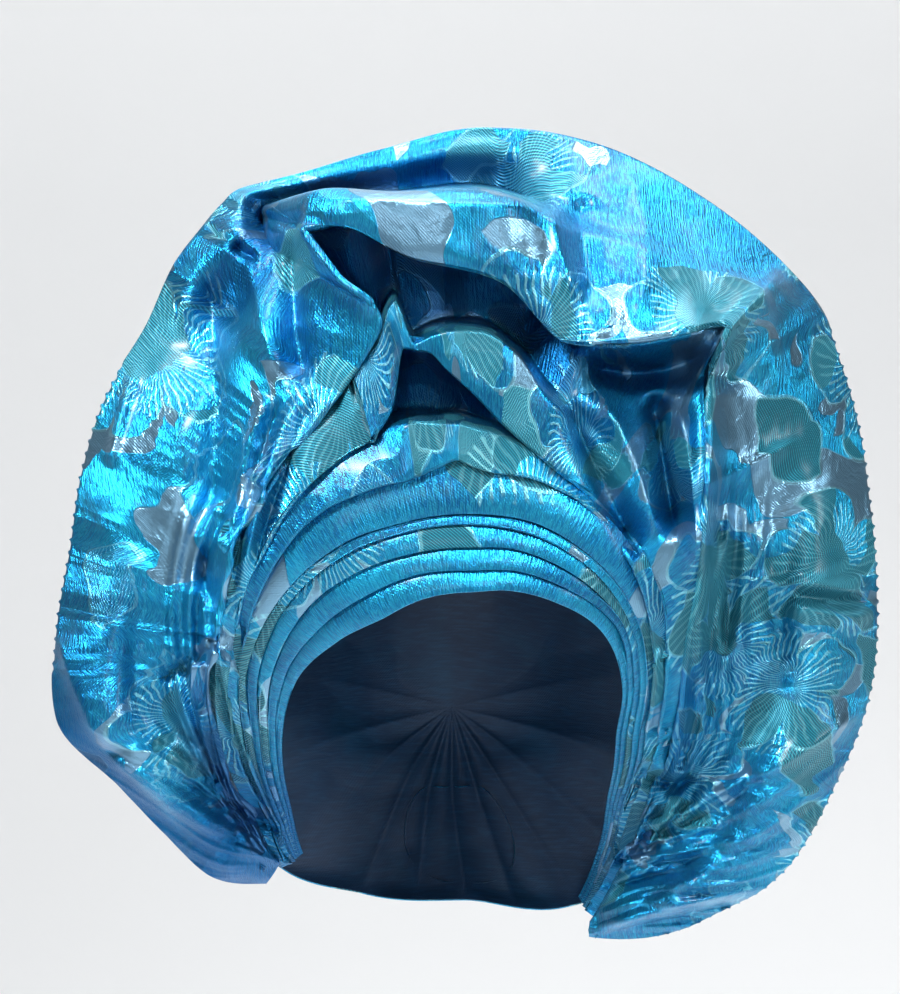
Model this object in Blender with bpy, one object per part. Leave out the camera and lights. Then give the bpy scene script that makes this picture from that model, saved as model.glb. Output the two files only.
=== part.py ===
"""A tied head wrap of stiff metallic cloth, in metres, +Z up, worn side towards -Y.

Narrow pleats stand over the brow, two deep folds rise over them, and one wide sheet
fans out from the folds to a big round rim. A plain wrap covers the back of the head
and is knotted at the nape. Every edge hangs in front of the layer below it.
Places in the sheets are polar: an angle from straight up, clockwise as the wearer is
faced, a reach from the middle of the folds, and a depth along +Y.
"""

import math

import bmesh
import bpy
import numpy as np

# Cloth
WALL = 0.0011
LAYER_GAP = 0.0008
LAYER = WALL + LAYER_GAP
FOLD_LIFT = 0.0034

# Head space, from the seat at the origin
HEAD_HALF_WIDTH = 0.0735
HEAD_DEPTH = 0.090
CROWN_HEIGHT = 0.106
NAPE_DROP = 0.092
OCCIPUT = 0.098
OCCIPUT_RISE = 0.010

# Folds
FOLD_CENTRE = 0.006
FAN_RADIUS = 0.264
LOW_HOLLOW = 0.040
HIGH_HOLLOW = 0.049
HOLLOW_RUN = 0.013
FOLD_SWELL = 0.0035
SWELL_FIRST_WIDTH = 0.012
SWELL_FULL_WIDTH = 0.032
TUCK = 0.0045
HIGH_TUCK = 0.006
TUCK_MOST = 0.55
TUCK_DROP = 1.3
RIM_ROLL = 0.011
RIM_TURNS = (60, 120)
RIM_LEAST_ROLL = 0.15
SMALLEST = 1e-6

# Gathers of the two lobes: where they start and are full, how many to how wide an angle
GATHER = 0.0045
GATHER_ANGLE = 110
LEFT_GATHERS = 9
LEFT_GATHER_START = -20
LEFT_GATHER_FULL = -45
RIGHT_GATHERS = 11
RIGHT_GATHER_START = 36
RIGHT_GATHER_FULL = 56
GATHER_FULL_WAY = 0.15
GATHER_LOSS = 0.55

# Knot
KNOT_THICK = 0.016
KNOT_HALF_WIDTH_ANGLE = 26
KNOT_MIDDLE = 0.30
KNOT_HALF_HEIGHT = 0.20
KNOT_PROBE_ANGLE = 1
KNOT_PROBE = 0.01

# How finely the layers are divided. A rise is 0 on a layer's lower edge, 1 on the next
# layer's lower edge and 2 where the tuck behind that edge ends. A way is 0 on the fan's
# inner edge and 1 on its rim.
PLEAT_RISES = (0.0, 0.5, 1.0, 2.0)
FOLD_RISES = (0.0, 0.2, 0.4, 0.55, 0.7, 0.85, 1.0, 2.0)
CREST_FIRST, CREST_LAST = -24, 36
LEFT_COLUMNS, CREST_COLUMNS, RIGHT_COLUMNS = 11, 16, 12
FAN_ROWS = (0, 0.07, 0.15, 0.23, 0.31, 0.39, 0.46, 0.53, 0.60, 0.67, 0.74, 0.82, 0.90, 0.95, 1.0)
WRAP_COLUMNS = 40
WRAP_RINGS = (0, 0.06, 0.13, 0.21, 0.30, 0.40, 0.52, 0.66, 0.82)
KNOT_COLUMNS = 18
KNOT_RINGS = 4

# The layers over the brow, from the hem up
PLEATS = ("brow_band", "brow_pleat_1", "brow_pleat_2", "brow_pleat_3", "brow_pleat_4")

# The brow pleats, a row for each angle: the reach of the hem and of the lower edge
# of each pleat as shares of FAN_RADIUS, the depth of the first and last as shares
# of HEAD_DEPTH.
BROW_COLUMNS = ("angle", "hem", "lap_1", "lap_2", "lap_3", "lap_4", "hem_depth", "lap_depth")
BROW_SECTIONS = (
    (-128, 0.353, 0.357, 0.360, 0.363, 0.367, 0.67, 0.56),
    (-110, 0.320, 0.327, 0.333, 0.342, 0.350, 0.33, 0.22),
    (-90, 0.307, 0.317, 0.328, 0.342, 0.355, -0.06, -0.16),
    (-70, 0.297, 0.317, 0.338, 0.360, 0.380, -0.40, -0.53),
    (-50, 0.267, 0.303, 0.340, 0.370, 0.384, -0.70, -0.81),
    (-30, 0.245, 0.290, 0.330, 0.365, 0.382, -0.90, -0.97),
    (-15, 0.247, 0.287, 0.322, 0.358, 0.375, -0.96, -0.99),
    (0, 0.248, 0.283, 0.320, 0.357, 0.375, -0.98, -1.00),
    (15, 0.260, 0.293, 0.327, 0.357, 0.377, -0.96, -0.99),
    (30, 0.272, 0.300, 0.327, 0.353, 0.368, -0.90, -0.96),
    (50, 0.287, 0.312, 0.325, 0.337, 0.350, -0.70, -0.80),
    (70, 0.275, 0.285, 0.295, 0.305, 0.316, -0.40, -0.53),
    (90, 0.252, 0.260, 0.269, 0.278, 0.288, -0.06, -0.17),
    (110, 0.262, 0.268, 0.275, 0.282, 0.289, 0.31, 0.20),
    (130, 0.303, 0.308, 0.313, 0.318, 0.323, 0.60, 0.49),
    (148, 0.357, 0.360, 0.363, 0.367, 0.370, 0.78, 0.67),
)

# The low and high crown folds: the reach of the lower edge and of the crest as
# shares of FAN_RADIUS, the depth of the edge as a share of HEAD_DEPTH, and how far
# the cloth falls behind the crest as a share of the fold's hollow.
CROWN_COLUMNS = (
    "angle", "low", "low_crest", "low_depth", "low_dip", "high", "high_crest", "high_depth", "high_dip",
)
CROWN_SECTIONS = (
    (-128, 0.371, 0.373, 0.53, 0.0, 0.375, 0.378, 0.50, 0.0),
    (-110, 0.358, 0.363, 0.19, 0.0, 0.368, 0.374, 0.16, 0.0),
    (-90, 0.370, 0.378, -0.20, 0.0, 0.387, 0.396, -0.23, 0.0),
    (-70, 0.397, 0.404, -0.57, 0.0, 0.412, 0.421, -0.61, 0.0),
    (-50, 0.423, 0.435, -0.84, 0.0, 0.447, 0.465, -0.88, 0.0),
    (-30, 0.443, 0.475, -1.00, 0.0, 0.493, 0.520, -1.00, 0.0),
    (-22, 0.440, 0.505, -1.02, 0.0, 0.510, 0.560, -0.99, 0.05),
    (-17, 0.440, 0.510, -1.03, 0.1, 0.520, 0.620, -0.99, 0.60),
    (-13, 0.438, 0.525, -1.03, 0.6, 0.550, 0.660, -0.98, 1.0),
    (-9, 0.443, 0.525, -1.03, 1.0, 0.650, 0.668, -0.98, 1.0),
    (-5, 0.453, 0.520, -1.03, 1.0, 0.638, 0.664, -0.98, 1.0),
    (-2, 0.462, 0.517, -1.03, 1.0, 0.602, 0.667, -0.99, 1.0),
    (2, 0.450, 0.507, -1.03, 1.0, 0.563, 0.664, -0.99, 1.0),
    (7, 0.442, 0.497, -1.03, 0.7, 0.520, 0.636, -0.99, 1.0),
    (13, 0.442, 0.478, -1.02, 0.1, 0.488, 0.572, -0.99, 0.5),
    (20, 0.438, 0.450, -1.01, 0.0, 0.462, 0.535, -0.99, 0.2),
    (31, 0.425, 0.433, -0.98, 0.0, 0.444, 0.490, -0.97, 0.1),
    (43, 0.392, 0.405, -0.89, 0.0, 0.425, 0.455, -0.90, 0.05),
    (50, 0.376, 0.390, -0.83, 0.0, 0.406, 0.430, -0.86, 0.0),
    (63, 0.345, 0.355, -0.66, 0.0, 0.366, 0.380, -0.70, 0.0),
    (79, 0.315, 0.323, -0.39, 0.0, 0.333, 0.342, -0.43, 0.0),
    (90, 0.301, 0.309, -0.20, 0.0, 0.318, 0.326, -0.24, 0.0),
    (110, 0.298, 0.303, 0.17, 0.0, 0.309, 0.314, 0.13, 0.0),
    (130, 0.329, 0.332, 0.46, 0.0, 0.336, 0.340, 0.42, 0.0),
    (148, 0.374, 0.376, 0.64, 0.0, 0.378, 0.380, 0.60, 0.0),
)

# The fan, a row for each section from its inner edge to the rim: both ends as an
# angle and a reach, the depth at five shares of the way, how far the rim rolls
# back, and 1 where the inner edge drapes free in front of the high fold.
FAN_COLUMNS = (
    "angle", "reach", "rim_angle", "rim_reach", "edge", "neck", "swell", "shoulder", "rim", "roll", "drape",
)
FAN_WAYS = (0.0, 0.15, 0.4, 0.7, 1.0)
FAN_SECTIONS = (
    (-124, 0.383, -126, 0.420, 0.42, 0.42, 0.42, 0.42, 0.46, 1, 0),
    (-112, 0.380, -119, 0.480, 0.15, 0.15, 0.08, 0.08, 0.24, 1, 0),
    (-100, 0.392, -107, 0.525, -0.08, -0.03, -0.12, -0.10, 0.08, 1, 0),
    (-90, 0.405, -97, 0.580, -0.27, -0.14, -0.25, -0.31, -0.07, 1, 0),
    (-79, 0.418, -86.7, 0.675, -0.48, -0.28, -0.34, -0.44, -0.17, 0.6, 0),
    (-70, 0.430, -76, 0.697, -0.65, -0.42, -0.42, -0.47, -0.20, 0, 0),
    (-60, 0.453, -65, 0.722, -0.80, -0.56, -0.48, -0.49, -0.22, 0, 0),
    (-50, 0.483, -55, 0.773, -0.91, -0.68, -0.54, -0.51, -0.22, 0, 0),
    (-41, 0.507, -46.6, 0.820, -0.97, -0.77, -0.60, -0.51, -0.22, 0, 0),
    (-30, 0.547, -38, 0.858, -1.02, -0.86, -0.67, -0.51, -0.22, 0.5, 0),
    (-18, 0.612, -31, 0.922, -1.04, -0.94, -0.73, -0.49, -0.22, 1, 0),
    (-11, 0.702, -27, 0.950, -1.14, -1.04, -0.77, -0.47, -0.22, 1, 1),
    (-15, 0.782, -24.5, 0.970, -1.08, -0.98, -0.73, -0.45, -0.22, 1, 1),
    (-17.2, 0.868, -22.2, 0.983, -1.00, -0.92, -0.64, -0.43, -0.25, 1, 0),
    (-13, 0.855, -16, 0.978, -1.02, -1.00, -0.80, -0.45, -0.27, 1, 0),
    (-6, 0.785, -8, 0.988, -1.03, -1.02, -0.88, -0.46, -0.28, 1, 0),
    (4, 0.748, 2, 1.013, -1.03, -1.02, -0.90, -0.46, -0.29, 1, 0),
    (14, 0.667, 12, 1.003, -1.02, -1.00, -0.88, -0.50, -0.29, 1, 0),
    (24, 0.713, 24, 0.970, -1.00, -0.95, -0.80, -0.55, -0.29, 1, 0),
    (31.5, 0.793, 34, 0.938, -0.97, -0.85, -0.68, -0.52, -0.27, 1, 0),
    (32.5, 0.717, 39, 0.920, -0.97, -0.82, -0.68, -0.55, -0.25, 0.4, 0),
    (38.7, 0.615, 45, 0.875, -0.96, -0.74, -0.62, -0.55, -0.24, 0, 0),
    (46, 0.523, 52, 0.825, -0.93, -0.66, -0.55, -0.53, -0.22, 0, 0),
    (55, 0.453, 59, 0.777, -0.86, -0.58, -0.50, -0.51, -0.22, 0, 0),
    (65, 0.392, 69, 0.727, -0.72, -0.46, -0.42, -0.49, -0.20, 0, 0),
    (79.5, 0.352, 82, 0.678, -0.46, -0.30, -0.36, -0.46, -0.18, 0, 0),
    (95, 0.332, 98, 0.613, -0.18, -0.08, -0.26, -0.38, -0.11, 0, 0),
    (110, 0.321, 112, 0.575, 0.09, 0.10, -0.08, -0.22, 0.0, 0, 0),
    (122, 0.331, 124, 0.517, 0.28, 0.26, 0.10, -0.04, 0.13, 0, 0),
    (134, 0.352, 136, 0.465, 0.44, 0.42, 0.30, 0.22, 0.29, 0, 0),
    (146, 0.384, 148, 0.404, 0.54, 0.54, 0.54, 0.54, 0.56, 0, 0),
)

# Creases pressed into the fan: three places on each as shares of FAN_RADIUS from the
# middle of the folds, the widths of the slopes on the left and right of the way from the
# first place to the last, and the height, less than zero for a valley, as shares of
# FAN_RADIUS too.
CREASE_COLUMNS = ("x1", "z1", "x2", "z2", "x3", "z3", "left", "right", "height")
CREASES = (
    (-0.252, 0.893, -0.060, 0.888, 0.140, 0.885, 0.030, 0.068, 0.023),
    (-0.335, 0.850, -0.060, 0.930, 0.190, 0.900, 0.060, 0.034, -0.070),
    (0.157, 0.643, 0.290, 0.660, 0.417, 0.690, 0.053, 0.034, 0.020),
    (0.527, 0.780, 0.448, 0.700, 0.390, 0.627, 0.053, 0.034, 0.015),
    (-0.435, 0.805, -0.407, 0.563, -0.430, 0.330, 0.040, 0.040, -0.024),
    (-0.407, 0.173, -0.427, 0.055, -0.433, -0.067, 0.034, 0.040, 0.020),
    (-0.675, 0.188, -0.620, 0.020, -0.502, -0.098, 0.053, 0.034, 0.019),
    (0.663, 0.057, 0.540, -0.023, 0.323, -0.123, 0.030, 0.034, 0.019),
)
CREASE_STEPS = 12
CREASE_END = 0.2

# The outer edge of the plain wrap where it leaves the fan and goes round the nape:
# reach as a share of FAN_RADIUS, depth as a share of HEAD_DEPTH.
NAPE_COLUMNS = ("angle", "reach", "depth")
NAPE_SECTIONS = (
    (110, 0.380, 0.28),
    (128, 0.385, 0.66),
    (150, 0.350, 0.82),
    (180, 0.290, 0.76),
    (212, 0.330, 0.80),
    (232, 0.390, 0.74),
    (250, 0.420, 0.26),
)
NAPE_CLIMB = 0.92
PULL_END = 0.55
PULL_POWER = 1.5
JOIN_WAY = 0.60
JOIN_LOW_WAY = 0.07
JOIN_GAP = 0.0042
JOIN_FIRST = -98
JOIN_LAST = 98

SHEET_FIRST = -126
SHEET_LAST = 145


def column(columns, rows, name):
    return np.array([row[columns.index(name)] for row in rows], float)


def smooth(places, values, at):
    """Monotone cubic interpolation: passes through every value and never overshoots."""
    places, values, at = (np.asarray(item, float) for item in (places, values, at))
    step = np.diff(places)
    slope = np.diff(values) / step
    before, after = slope[:-1], slope[1:]
    with np.errstate(divide="ignore", invalid="ignore"):
        mean = np.where(before * after > 0, 2 * before * after / (before + after), 0.0)
    tangent = np.concatenate([slope[:1], mean, slope[-1:]])
    index = np.clip(np.searchsorted(places, at, side="right") - 1, 0, len(step) - 1)
    t = np.clip((at - places[index]) / step[index], 0.0, 1.0)
    lift = (2 * t**3 - 3 * t**2 + 1) * values[index] + (3 * t**2 - 2 * t**3) * values[index + 1]
    lean = (t**3 - 2 * t**2 + t) * tangent[index] + (t**3 - t**2) * tangent[index + 1]
    return lift + lean * step[index]


def ease(t):
    t = np.clip(t, 0.0, 1.0)
    return t * t * (3 - 2 * t)


def polar(angle, reach, depth):
    """The point at an angle in degrees, a reach and a depth in metres, as arrays of one shape."""
    turn = np.radians(angle)
    return np.stack([FOLD_CENTRE + reach * np.sin(turn), depth + 0 * reach, reach * np.cos(turn)], axis=-1)


def normals_of(grid):
    """Unit normals of a grid of points, on the side that faces the viewer of the front."""
    along = np.gradient(grid, axis=1)
    across = np.gradient(grid, axis=0)
    normal = np.cross(along, across)
    return normal / np.maximum(np.linalg.norm(normal, axis=-1, keepdims=True), 1e-12)


def cloth(name, colour, roughness, metallic=0.55):
    material = bpy.data.materials.new(name)
    material.use_nodes = True
    shader = material.node_tree.nodes["Principled BSDF"]
    shader.inputs["Base Color"].default_value = (*colour, 1.0)
    shader.inputs["Roughness"].default_value = roughness
    shader.inputs["Metallic"].default_value = metallic
    return material


def add_mesh(name, points, faces, material):
    mesh = bpy.data.meshes.new(name)
    mesh.from_pydata([tuple(point) for point in points], [], faces)
    mesh.materials.append(material)
    mesh.shade_smooth()
    piece = bpy.data.objects.new(name, mesh)
    bpy.context.scene.collection.objects.link(piece)
    return piece


def add_sheet(name, grid, material):
    """One layer of cloth through a grid of points; the wall lies behind them."""
    rows, columns = grid.shape[:2]
    faces = []
    for row in range(rows - 1):
        for col in range(columns - 1):
            corner = row * columns + col
            faces.append((corner, corner + 1, corner + columns + 1, corner + columns))
    piece = add_mesh(name, grid.reshape(-1, 3), faces, material)
    wall = piece.modifiers.new("Wall", "SOLIDIFY")
    wall.thickness = WALL
    wall.offset = -1.0
    return piece


def edge_lines(angle):
    """Reach and depth of the lower edge of every layer, hem first, fan last, at each angle."""
    stations = column(BROW_COLUMNS, BROW_SECTIONS, "angle")
    reach, depth = [], []
    laps = BROW_COLUMNS[1:1 + len(PLEATS)]
    first = smooth(stations, column(BROW_COLUMNS, BROW_SECTIONS, "hem_depth"), angle)
    last = smooth(stations, column(BROW_COLUMNS, BROW_SECTIONS, "lap_depth"), angle)
    for order, lap in enumerate(laps):
        share = order / (len(laps) - 1)
        reach.append(smooth(stations, column(BROW_COLUMNS, BROW_SECTIONS, lap), angle))
        depth.append(first + (last - first) * share)
    stations = column(CROWN_COLUMNS, CROWN_SECTIONS, "angle")
    for fold in ("low", "high"):
        reach.append(smooth(stations, column(CROWN_COLUMNS, CROWN_SECTIONS, fold), angle))
        depth.append(smooth(stations, column(CROWN_COLUMNS, CROWN_SECTIONS, fold + "_depth"), angle))
    seated = [row for row in FAN_SECTIONS if not row[FAN_COLUMNS.index("drape")]]
    stations = column(FAN_COLUMNS, seated, "angle")
    inner = column(FAN_COLUMNS, seated, "reach")
    rim = column(FAN_COLUMNS, seated, "rim_reach")
    reach.append(smooth(stations, inner, angle))
    depth.append(smooth(stations, column(FAN_COLUMNS, seated, "edge"), angle))
    reach.append(smooth(stations, inner + (rim - inner) * FAN_WAYS[1], angle))
    depth.append(smooth(stations, column(FAN_COLUMNS, seated, "neck"), angle))
    return np.array(reach) * FAN_RADIUS, np.array(depth) * HEAD_DEPTH


def layer_grid(order, angle, rises, hollow_tuck=0.0):
    """Points of one pleat or fold: from its lower edge up to the next edge, and tucked in behind it."""
    reach, depth = edge_lines(angle)
    start, end, after = (reach[order + k] for k in range(3))
    width = np.maximum(end - start, SMALLEST)
    swell = FOLD_SWELL * ease((width - SWELL_FIRST_WIDTH) / (SWELL_FULL_WIDTH - SWELL_FIRST_WIDTH))
    lift = FOLD_LIFT if order >= len(PLEATS) else LAYER
    tuck = np.minimum(TUCK / np.maximum(after - end, SMALLEST), TUCK_MOST)
    tuck = tuck + hollow_tuck / np.maximum(after - end, WALL)
    places, depths, heights = [], [], []
    for rise in rises:
        if rise <= 1:
            place = start + width * rise
            lie = depth[order] + (depth[order + 1] - depth[order]) * rise
            lie = lie - swell * np.sin(math.pi * rise)
            height = lift * (1 - rise) + 0 * place
        else:
            share = tuck * (rise - 1)
            place = end + (after - end) * share
            lie = depth[order + 1] + (depth[order + 2] - depth[order + 1]) * share
            height = -LAYER * TUCK_DROP * share
        places.append(place)
        depths.append(lie)
        heights.append(height)
    places, depths, heights = np.array(places), np.array(depths), np.array(heights)
    grid = polar(angle[None, :] + 0 * places, places, depths)
    return grid + normals_of(grid) * heights[..., None], places


def fold_grid(order, name, angle, rises, hollow, tuck=0.0):
    """A crown fold: a layer whose cloth falls back behind its crest."""
    stations = column(CROWN_COLUMNS, CROWN_SECTIONS, "angle")
    crest = smooth(stations, column(CROWN_COLUMNS, CROWN_SECTIONS, name + "_crest"), angle) * FAN_RADIUS
    dip = smooth(stations, column(CROWN_COLUMNS, CROWN_SECTIONS, name + "_dip"), angle)
    grid, places = layer_grid(order, angle, rises, tuck * dip)
    grid[..., 1] += hollow * dip * ease((places - crest) / HOLLOW_RUN)
    return grid


def fan_grid(across, ways):
    """Points of the fan at shares across its sections and shares of the way to the rim."""
    order = np.arange(len(FAN_SECTIONS), dtype=float)
    place = across * order[-1]
    read = {name: smooth(order, column(FAN_COLUMNS, FAN_SECTIONS, name), place) for name in FAN_COLUMNS}
    inner = polar(read["angle"], read["reach"] * FAN_RADIUS, 0.0)
    outer = polar(read["rim_angle"], read["rim_reach"] * FAN_RADIUS, 0.0)
    depths = np.array([read[name] for name in ("edge", "neck", "swell", "shoulder", "rim")])
    rows = []
    for way in ways:
        depth = np.array([smooth(FAN_WAYS, depths[:, col], way) for col in range(len(place))]) * HEAD_DEPTH
        row = inner + (outer - inner) * way
        row[:, 1] = depth + gathers(read["angle"], way)
        rows.append(row)
    grid = pressed(np.array(rows))
    lift = normals_of(grid) + np.array([0.0, -1.0, 0.0])
    grid = grid + lift / np.linalg.norm(lift, axis=-1, keepdims=True) * FOLD_LIFT
    out = outer - inner
    out = out / np.linalg.norm(out, axis=1, keepdims=True)
    for turn in RIM_TURNS:
        lean = math.radians(turn)
        lip = grid[len(ways) - 1] - out * (RIM_ROLL / 2 * (1 - math.cos(lean)) * read["roll"])[:, None]
        lip[:, 1] += RIM_ROLL * math.sin(lean / 2) * np.maximum(read["roll"], RIM_LEAST_ROLL)
        grid = np.concatenate([grid, lip[None]])
    return grid


def gathers(angle, way):
    """Radial gathers of the two lobes, flat at the inner edge and at the rim's crown."""
    turn = angle * math.tau / GATHER_ANGLE
    left = ease((angle - LEFT_GATHER_START) / (LEFT_GATHER_FULL - LEFT_GATHER_START))
    right = ease((angle - RIGHT_GATHER_START) / (RIGHT_GATHER_FULL - RIGHT_GATHER_START))
    waves = left * np.cos(turn * LEFT_GATHERS) + right * np.cos(turn * RIGHT_GATHERS)
    return GATHER * ease(way / GATHER_FULL_WAY) * (1 - GATHER_LOSS * way) * waves


def pressed(grid):
    """The grid with every crease of the table pressed into it, towards or away from the viewer."""
    place = np.stack([grid[..., 0] - FOLD_CENTRE, grid[..., 2]], axis=-1) / FAN_RADIUS
    relief = np.zeros(grid.shape[:2])
    t = np.linspace(0, 1, CREASE_STEPS + 1)[:, None]
    for crease in CREASES:
        start, middle, end = (np.array(crease[k:k + 2]) for k in (0, 2, 4))
        left, right, height = crease[6:]
        pull = 2 * middle - (start + end) / 2
        curve = (1 - t) ** 2 * start + 2 * t * (1 - t) * pull + t**2 * end
        best, side, way = np.full(relief.shape, np.inf), np.zeros(relief.shape), np.zeros(relief.shape)
        for step, run in enumerate(np.diff(curve, axis=0)):
            offset = place - curve[step]
            share = np.clip(offset @ run / (run @ run), 0, 1)
            gap = np.linalg.norm(offset - share[..., None] * run, axis=-1)
            closer = gap < best
            best = np.where(closer, gap, best)
            side = np.where(closer, run[0] * offset[..., 1] - run[1] * offset[..., 0], side)
            way = np.where(closer, (step + share) / CREASE_STEPS, way)
        slope = best / np.where(side > 0, left, right)
        ends = ease(way / CREASE_END) * ease((1 - way) / CREASE_END)
        relief += height * FAN_RADIUS * np.exp(-(slope**2)) * ends
    shaped = grid.copy()
    shaped[..., 1] -= relief
    return shaped


def wrap_edge(fan_line):
    """Angle, reach and depth of the plain wrap's outer edge, right round, from the fan's own back."""
    flat = fan_line - np.array([FOLD_CENTRE, 0, 0])
    angle = np.degrees(np.arctan2(flat[:, 0], flat[:, 2]))
    reach = np.hypot(flat[:, 0], flat[:, 2])
    keep = (angle > JOIN_FIRST) & (angle < JOIN_LAST)
    angle, reach, depth = angle[keep], reach[keep], fan_line[keep, 1]
    order = np.argsort(angle)
    angle, reach, depth = angle[order], reach[order], depth[order]
    nape = [column(NAPE_COLUMNS, NAPE_SECTIONS, name) for name in NAPE_COLUMNS]
    angle = np.concatenate([angle, nape[0], angle[:1] + 360])
    reach = np.concatenate([reach, nape[1] * FAN_RADIUS, reach[:1]])
    depth = np.concatenate([depth, nape[2] * HEAD_DEPTH, depth[:1]])
    return angle, reach, depth


def wrap_points(edge, angle, share):
    """The plain wrap: share 0 on its outer edge, 1 at the back of the head."""
    stations, reaches, depths = edge
    angle, share = np.broadcast_arrays(angle, share)
    turned = stations[0] + np.mod(angle - stations[0], 360)
    reach, depth = smooth(stations, reaches, turned), smooth(stations, depths, turned)
    turn = np.radians(turned)
    tall = np.where(np.cos(turn) > 0, CROWN_HEIGHT, NAPE_DROP)
    skull = 1 / np.sqrt((np.sin(turn) / HEAD_HALF_WIDTH) ** 2 + (np.cos(turn) / tall) ** 2)
    start = np.arccos(np.clip(depth / OCCIPUT, 0.0, NAPE_CLIMB))
    lean = start * (1 - share)
    pull = ease(1 - share / PULL_END) ** PULL_POWER
    radius = skull * np.sin(lean) + (reach - skull * np.sin(start)) * pull
    back = OCCIPUT * np.cos(lean) + (depth - OCCIPUT * np.cos(start)) * pull
    points = polar(turned, radius, back)
    points[..., 0] -= FOLD_CENTRE * (1 - pull)
    points[..., 2] += OCCIPUT_RISE * (1 - pull)
    return points


def add_wrap(edge, material):
    columns, rings = WRAP_COLUMNS, WRAP_RINGS
    angle = np.linspace(0, 360, columns, endpoint=False)
    points = [wrap_points(edge, angle, ring) for ring in rings]
    points = np.concatenate([*points, wrap_points(edge, np.zeros(1), 1.0)])
    faces = []
    for ring in range(len(rings) - 1):
        for col in range(columns):
            after = (col + 1) % columns
            low, high = ring * columns, (ring + 1) * columns
            faces.append((low + col, low + after, high + after, high + col))
    low, pole = (len(rings) - 1) * columns, len(points) - 1
    faces += [(low + col, low + (col + 1) % columns, pole) for col in range(columns)]
    piece = add_mesh("head_wrap", points, faces, material)
    wall = piece.modifiers.new("Wall", "SOLIDIFY")
    wall.thickness = WALL
    wall.offset = -1.0
    return piece


def add_knot(edge, material):
    """A plain lens of bunched cloth, seated on the wrap at the nape."""
    columns, rings = KNOT_COLUMNS, KNOT_RINGS
    inner, outer = [], []
    for ring in range(rings + 1):
        share = ring / rings
        for col in range(columns if ring else 1):
            turn = math.tau * col / columns
            angle = 180 + KNOT_HALF_WIDTH_ANGLE * share * math.cos(turn)
            place = KNOT_MIDDLE + KNOT_HALF_HEIGHT * share * math.sin(turn)
            at = wrap_points(edge, np.array([angle]), place)[0]
            side = wrap_points(edge, np.array([angle + KNOT_PROBE_ANGLE]), place)[0] - at
            rise = wrap_points(edge, np.array([angle]), place + KNOT_PROBE)[0] - at
            normal = np.cross(side, rise)
            normal /= np.linalg.norm(normal)
            inner.append(at + normal * LAYER_GAP)
            outer.append(at + normal * (LAYER_GAP + WALL + KNOT_THICK * math.sqrt(1 - share**2)))
    total = len(inner)
    faces = []
    for shift, flip in ((0, False), (total, True)):
        side = []
        for col in range(columns):
            after = (col + 1) % columns
            side.append((0, 1 + col, 1 + after))
            for ring in range(rings - 1):
                low, high = 1 + ring * columns, 1 + (ring + 1) * columns
                side.append((low + col, high + col, high + after, low + after))
        side = [tuple(corner + shift for corner in face) for face in side]
        faces += [face[::-1] if flip else face for face in side]
    rim = 1 + (rings - 1) * columns
    for col in range(columns):
        after = (col + 1) % columns
        faces.append((rim + col, rim + col + total, rim + after + total, rim + after))
    piece = add_mesh("nape_knot", np.array(inner + outer), faces, material)
    shape = bmesh.new()
    shape.from_mesh(piece.data)
    bmesh.ops.recalc_face_normals(shape, faces=shape.faces)
    shape.to_mesh(piece.data)
    shape.free()
    return piece


def main():
    for thing in list(bpy.data.objects):
        bpy.data.objects.remove(thing, do_unlink=True)
    satin = cloth("blue satin", (0.02, 0.24, 0.52), 0.32)
    brocade = cloth("blue brocade", (0.03, 0.30, 0.58), 0.36)
    plain = cloth("plain blue", (0.02, 0.20, 0.45), 0.42)

    left = np.linspace(SHEET_FIRST, CREST_FIRST, LEFT_COLUMNS, endpoint=False)
    middle = np.linspace(CREST_FIRST, CREST_LAST, CREST_COLUMNS, endpoint=False)
    right = np.linspace(CREST_LAST, SHEET_LAST, RIGHT_COLUMNS)
    angle = np.concatenate([left, middle, right])
    for order, name in enumerate(PLEATS):
        add_sheet(name, layer_grid(order, angle, PLEAT_RISES)[0], satin)
    low, high = len(PLEATS), len(PLEATS) + 1
    add_sheet("low_crown_fold", fold_grid(low, "low", angle, FOLD_RISES, LOW_HOLLOW), brocade)
    add_sheet("high_crown_fold", fold_grid(high, "high", angle, FOLD_RISES, HIGH_HOLLOW, HIGH_TUCK), brocade)

    across = np.linspace(0, 1, 2 * len(FAN_SECTIONS) - 1)
    ways = np.array(FAN_ROWS)
    fan = fan_grid(across, ways)
    add_sheet("fan", fan, brocade)

    behind = fan - normals_of(fan) * (2 * WALL + JOIN_GAP)
    upright = np.cos(np.radians(np.linspace(JOIN_FIRST, JOIN_LAST, len(across))))
    way = JOIN_LOW_WAY + (JOIN_WAY - JOIN_LOW_WAY) * np.clip(upright, 0, 1)
    line = behind[np.searchsorted(ways, way), np.arange(len(across))]
    edge = wrap_edge(line)
    add_wrap(edge, plain)
    add_knot(edge, plain)


main()
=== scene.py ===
"""The looks of a tied head wrap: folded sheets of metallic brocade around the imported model."""

import math

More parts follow.
